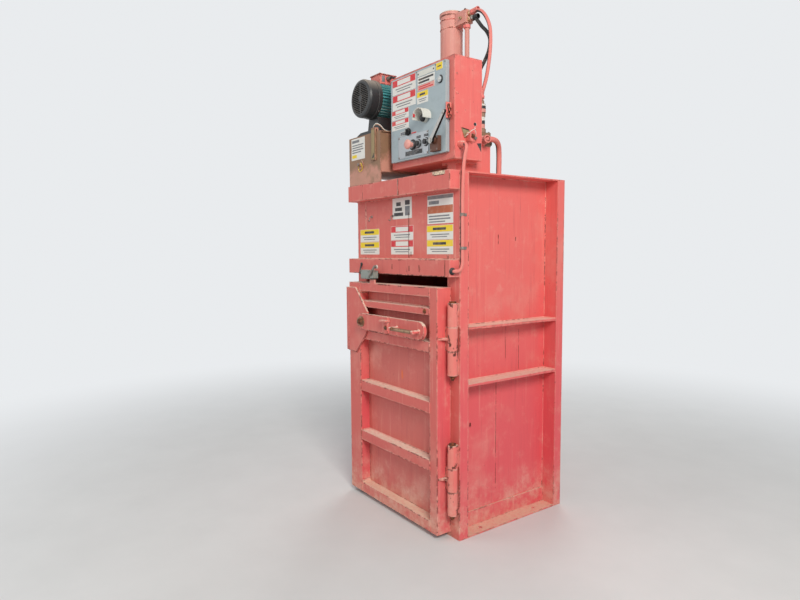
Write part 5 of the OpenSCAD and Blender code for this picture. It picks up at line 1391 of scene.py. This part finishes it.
class BALER_OT_box_trim(bpy.types.Operator):
    """Adds what is fixed to the control box: side fittings, ducts and wires inside"""
    bl_idname = "baler.box_trim"
    bl_label = "Control box trim"

    def execute(self, context):
        side = Shape()
        # A hole in the box side: the black disc is painted shade inside it, and the white ring round it and the
        # white block below it are painted highlights.
        side.collar(0.0, 0.0092, 0.0, 0.0006, (BOX_SIDE, -0.2468, 2.0647), (1, 0, 0), "sign_white")
        side.collar(0.0, 0.0085, 0.0, 0.0010, (BOX_SIDE, -0.2478, 2.0650), (1, 0, 0), "sign_black")
        side.block((BOX_SIDE, -0.252, 2.0440), (BOX_SIDE + 0.0006, -0.244, 2.0490), "sign_white")
        side.prism([(BOX_SIDE, -0.236, 1.974), (BOX_SIDE, -0.206, 1.978), (BOX_SIDE, -0.206, 1.934)],
                   (0.0006, 0, 0), "sign_black")
        side.finish("box_side_marks", "frame", "body_side_paint", bevel=0.0003)
        cluster = Shape()
        cluster.prism([(BOX_SIDE, -0.338, 2.040), (BOX_SIDE, -0.290, 2.034), (BOX_SIDE, -0.284, 2.004),
                       (BOX_SIDE, -0.318, 1.992)], (0.005, 0, 0), "plated_fitting")
        cluster.prism([(BOX_SIDE + 0.005, -0.338, 2.0405), (BOX_SIDE + 0.005, -0.290, 2.0345),
                       (BOX_SIDE + 0.005, -0.291, 2.0290), (BOX_SIDE + 0.005, -0.336, 2.0350)],
                      (0.0008, 0, 0), "rust_solid")
        nut = [(0.0, 0.0), (1.0, 0.0), (1.0, 0.7), (0.78, 0.8), (0.78, 1.5), (0.5, 1.6), (0.0, 1.6)]
        for y, z, size, finish in ((-0.296, 2.010, 0.0125, "door_paint"), (-0.270, 2.006, 0.0110, "rusty_steel"),
                                   (-0.280, 1.984, 0.0105, "door_paint"), (-0.252, 1.996, 0.0095, "dull_steel")):
            cluster.turned([(share * size, along * size) for share, along in nut], (BOX_SIDE, y, z), (1, 0, 0),
                           finish, sides=6)
        loop = [(BOX_SIDE, -0.318, 1.998), (0.440, -0.312, 2.006), (0.446, -0.292, 2.026), (0.443, -0.268, 2.034),
                (0.436, -0.252, 2.020), (BOX_SIDE, -0.246, 2.008)]
        cluster.tube(smooth_line(loop, 6), 0.0018, "pale_plastic", sides=8)
        cluster.finish("box_fittings", "frame", "bare_steel", bevel=0.0004)
        chain = Shape()
        for k, (y, z) in enumerate(((-0.398, 2.137), (-0.393, 2.120), (-0.397, 2.103), (-0.391, 2.088))):
            lean = 0.0035 * (k % 2)
            link = [(0.4030 + lean * math.sin(2 * a), y + 0.0065 * math.cos(a), z + 0.0110 * math.sin(a))
                    for a in full_turn(24)]
            chain.tube(link, 0.0021, "rust_solid" if k % 2 else "rusty_steel", sides=8)
        chain.finish("hasp_chain", "frame", "bare_steel")
        inside = Shape()
        for x in (-0.040, 0.352):
            inside.block((x, PLATE_FACE - 0.040, 1.945), (x + 0.018, PLATE_FACE, 2.325), "pale_plastic")
            for k in range(18):
                z = 1.952 + k * 0.0205
                inside.block((x - 0.0006, PLATE_FACE - 0.041, z), (x + 0.0186, PLATE_FACE - 0.006, z + 0.008),
                             "sign_ink")
        for k in range(10):
            x = 0.004 + k * 0.020
            route = [(x, PLATE_FACE - 0.041, 2.026), (x, PLATE_FACE - 0.052, 2.050),
                     (x + 0.004, PLATE_FACE - 0.056, 2.090), (0.012 + k * 0.012, PLATE_FACE - 0.052, 2.130),
                     (0.010 + k * 0.011, PLATE_FACE - 0.046, 2.158)]
            inside.tube(smooth_line(route, 5), context.scene.baler_trim.wire_radius,
                        "red_wire" if k % 3 == 0 else "blue_wire", 8)
        inside.finish("box_wiring", "frame", "black_plastic")
        loom = Shape()
        for k, x in enumerate((ESTOP_X, START_X, RETURN_X)):
            route = [(x, -0.334, 2.012), (x - 0.006, -0.325, 2.030), (0.05 + 0.006 * k, -0.340, 2.050),
                     (-0.010 + 0.004 * k, -0.362, 2.070), (-0.040 + 0.004 * k, -0.372, 2.100)]
            loom.tube(smooth_line(route, 5), 0.003, "blue_wire", 8)
        loom.finish("door_loom", "box_door", "black_plastic")
        return {"FINISHED"}


class BALER_OT_switch_trim(bpy.types.Operator):
    """Adds the limit switch's cover plate, gland and roller"""
    bl_idname = "baler.switch_trim"
    bl_label = "Limit switch trim"

    def execute(self, context):
        shape = Shape()
        shape.block((-0.266, -0.4885, 1.297), (-0.182, -0.487, 1.341), "lamp_paint")
        shape.turned([(0.006, 0.0), (0.012, 0.0), (0.012, 0.008), (0.010, 0.012), (0.010, 0.018), (0.006, 0.020)],
                     (-0.268, -0.466, 1.319), (-1, 0, 0), "dull_steel", sides=12)
        cable = [(-0.284, -0.466, 1.319), (-0.300, -0.466, 1.320), (-0.316, -0.462, 1.330), (-0.322, -0.456, 1.346),
                 (-0.322, -0.451, 1.362), (-0.322, -0.447, 1.372), (-0.322, -0.442, 1.376)]
        shape.tube(smooth_line(cable, 5), 0.0045, "hose_rubber", sides=12)
        shape.turned([(0.004, 0.0), (0.010, 0.0), (0.010, 0.002), (0.0075, 0.006), (0.004, 0.006)],
                     (-0.322, -0.445, 1.375), (0, -1, 0), "black_plastic", sides=20)
        shape.finish("switch_fittings", "frame", "bare_steel", bevel=0.0005)
        arm = Shape()
        arm.turned([(0.0, 0.0), (0.0055, 0.0), (0.0055, 0.003), (0.004, 0.0042), (0.0, 0.0045)],
                   (-0.164, -0.4950, 1.319), (0, -1, 0), "dull_steel", sides=6)
        arm.turned([(0.0088, 0.0), (0.0098, 0.001), (0.0098, 0.008), (0.0088, 0.009)],
                   (-0.1202, -0.4810, 1.3628), (0, 1, 0), "pale_plastic", sides=32)
        arm.finish("switch_roller", "switch_lever", "bare_steel")
        return {"FINISHED"}


class BALER_OT_latch_trim(bpy.types.Operator):
    """Adds the latch's washer, stop and rod collars"""
    bl_idname = "baler.latch_trim"
    bl_label = "Latch trim"

    def execute(self, context):
        shape = Shape()
        shape.turned([(0.0, 0.0), (0.0165, 0.0), (0.0165, 0.0015), (0.012, 0.0045), (0.0, 0.0055)],
                     (-0.250, -0.515, 1.050), (0, -1, 0), "rusty_steel", sides=24)
        for x in (0.102, 0.290):
            shape.turned([(0.0088, 0.0), (0.0130, 0.0), (0.0120, 0.003), (0.0095, 0.005)],
                         (x, -0.497, 1.046), (0, -1, 0), "door_paint", sides=24)
        shape.tube([(x, -0.538, 1.046) for x in (0.108, 0.150, 0.200, 0.250, 0.284)], 0.0095, "worn_steel")
        shape.finish("latch_trim", "latch", "body_paint")
        return {"FINISHED"}


class BALER_PT_sidebar(bpy.types.Panel):
    """Lists the baler's pieces and settings"""
    bl_label = "Vertical baler"
    bl_idname = "BALER_PT_sidebar"
    bl_space_type = "VIEW_3D"
    bl_region_type = "UI"
    bl_category = "Baler"

    def draw(self, context):
        for group in (context.scene.baler_paint, context.scene.baler_signs, context.scene.baler_trim):
            column = self.layout.column(align=True)
            for name in group.__annotations__:
                column.prop(group, name)
        column = self.layout.column(align=True)
        for kind in OPERATORS:
            column.operator(kind.bl_idname)


# In the order that main calls them
OPERATORS = [BALER_OT_camera, BALER_OT_finishes, BALER_OT_hoses, BALER_OT_stage, BALER_OT_header_signs,
             BALER_OT_runs, BALER_OT_control_signs, BALER_OT_control_trim, BALER_OT_welds, BALER_OT_fasteners,
             BALER_OT_motor_trim, BALER_OT_tank_trim, BALER_OT_cylinder_trim, BALER_OT_box_trim,
             BALER_OT_switch_trim, BALER_OT_latch_trim]
GROUPS = {"baler_paint": BalerPaint, "baler_signs": BalerSigns, "baler_trim": BalerTrim}
CLASSES = [*GROUPS.values(), *OPERATORS, BALER_PT_sidebar]


def register():
    """Adds the classes, and their settings to the scene."""
    for kind in CLASSES:
        bpy.utils.register_class(kind)
    for name, group in GROUPS.items():
        setattr(bpy.types.Scene, name, bpy.props.PointerProperty(type=group))


def unregister():
    """Takes the settings and the classes out again, the last one first."""
    for name in GROUPS:
        delattr(bpy.types.Scene, name)
    for kind in reversed(CLASSES):
        bpy.utils.unregister_class(kind)


def main():
    """Builds everything."""
    register()
    for kind in OPERATORS:
        group, name = kind.bl_idname.split(".")
        getattr(getattr(bpy.ops, group), name)()


if __name__ == "__main__":
    main()
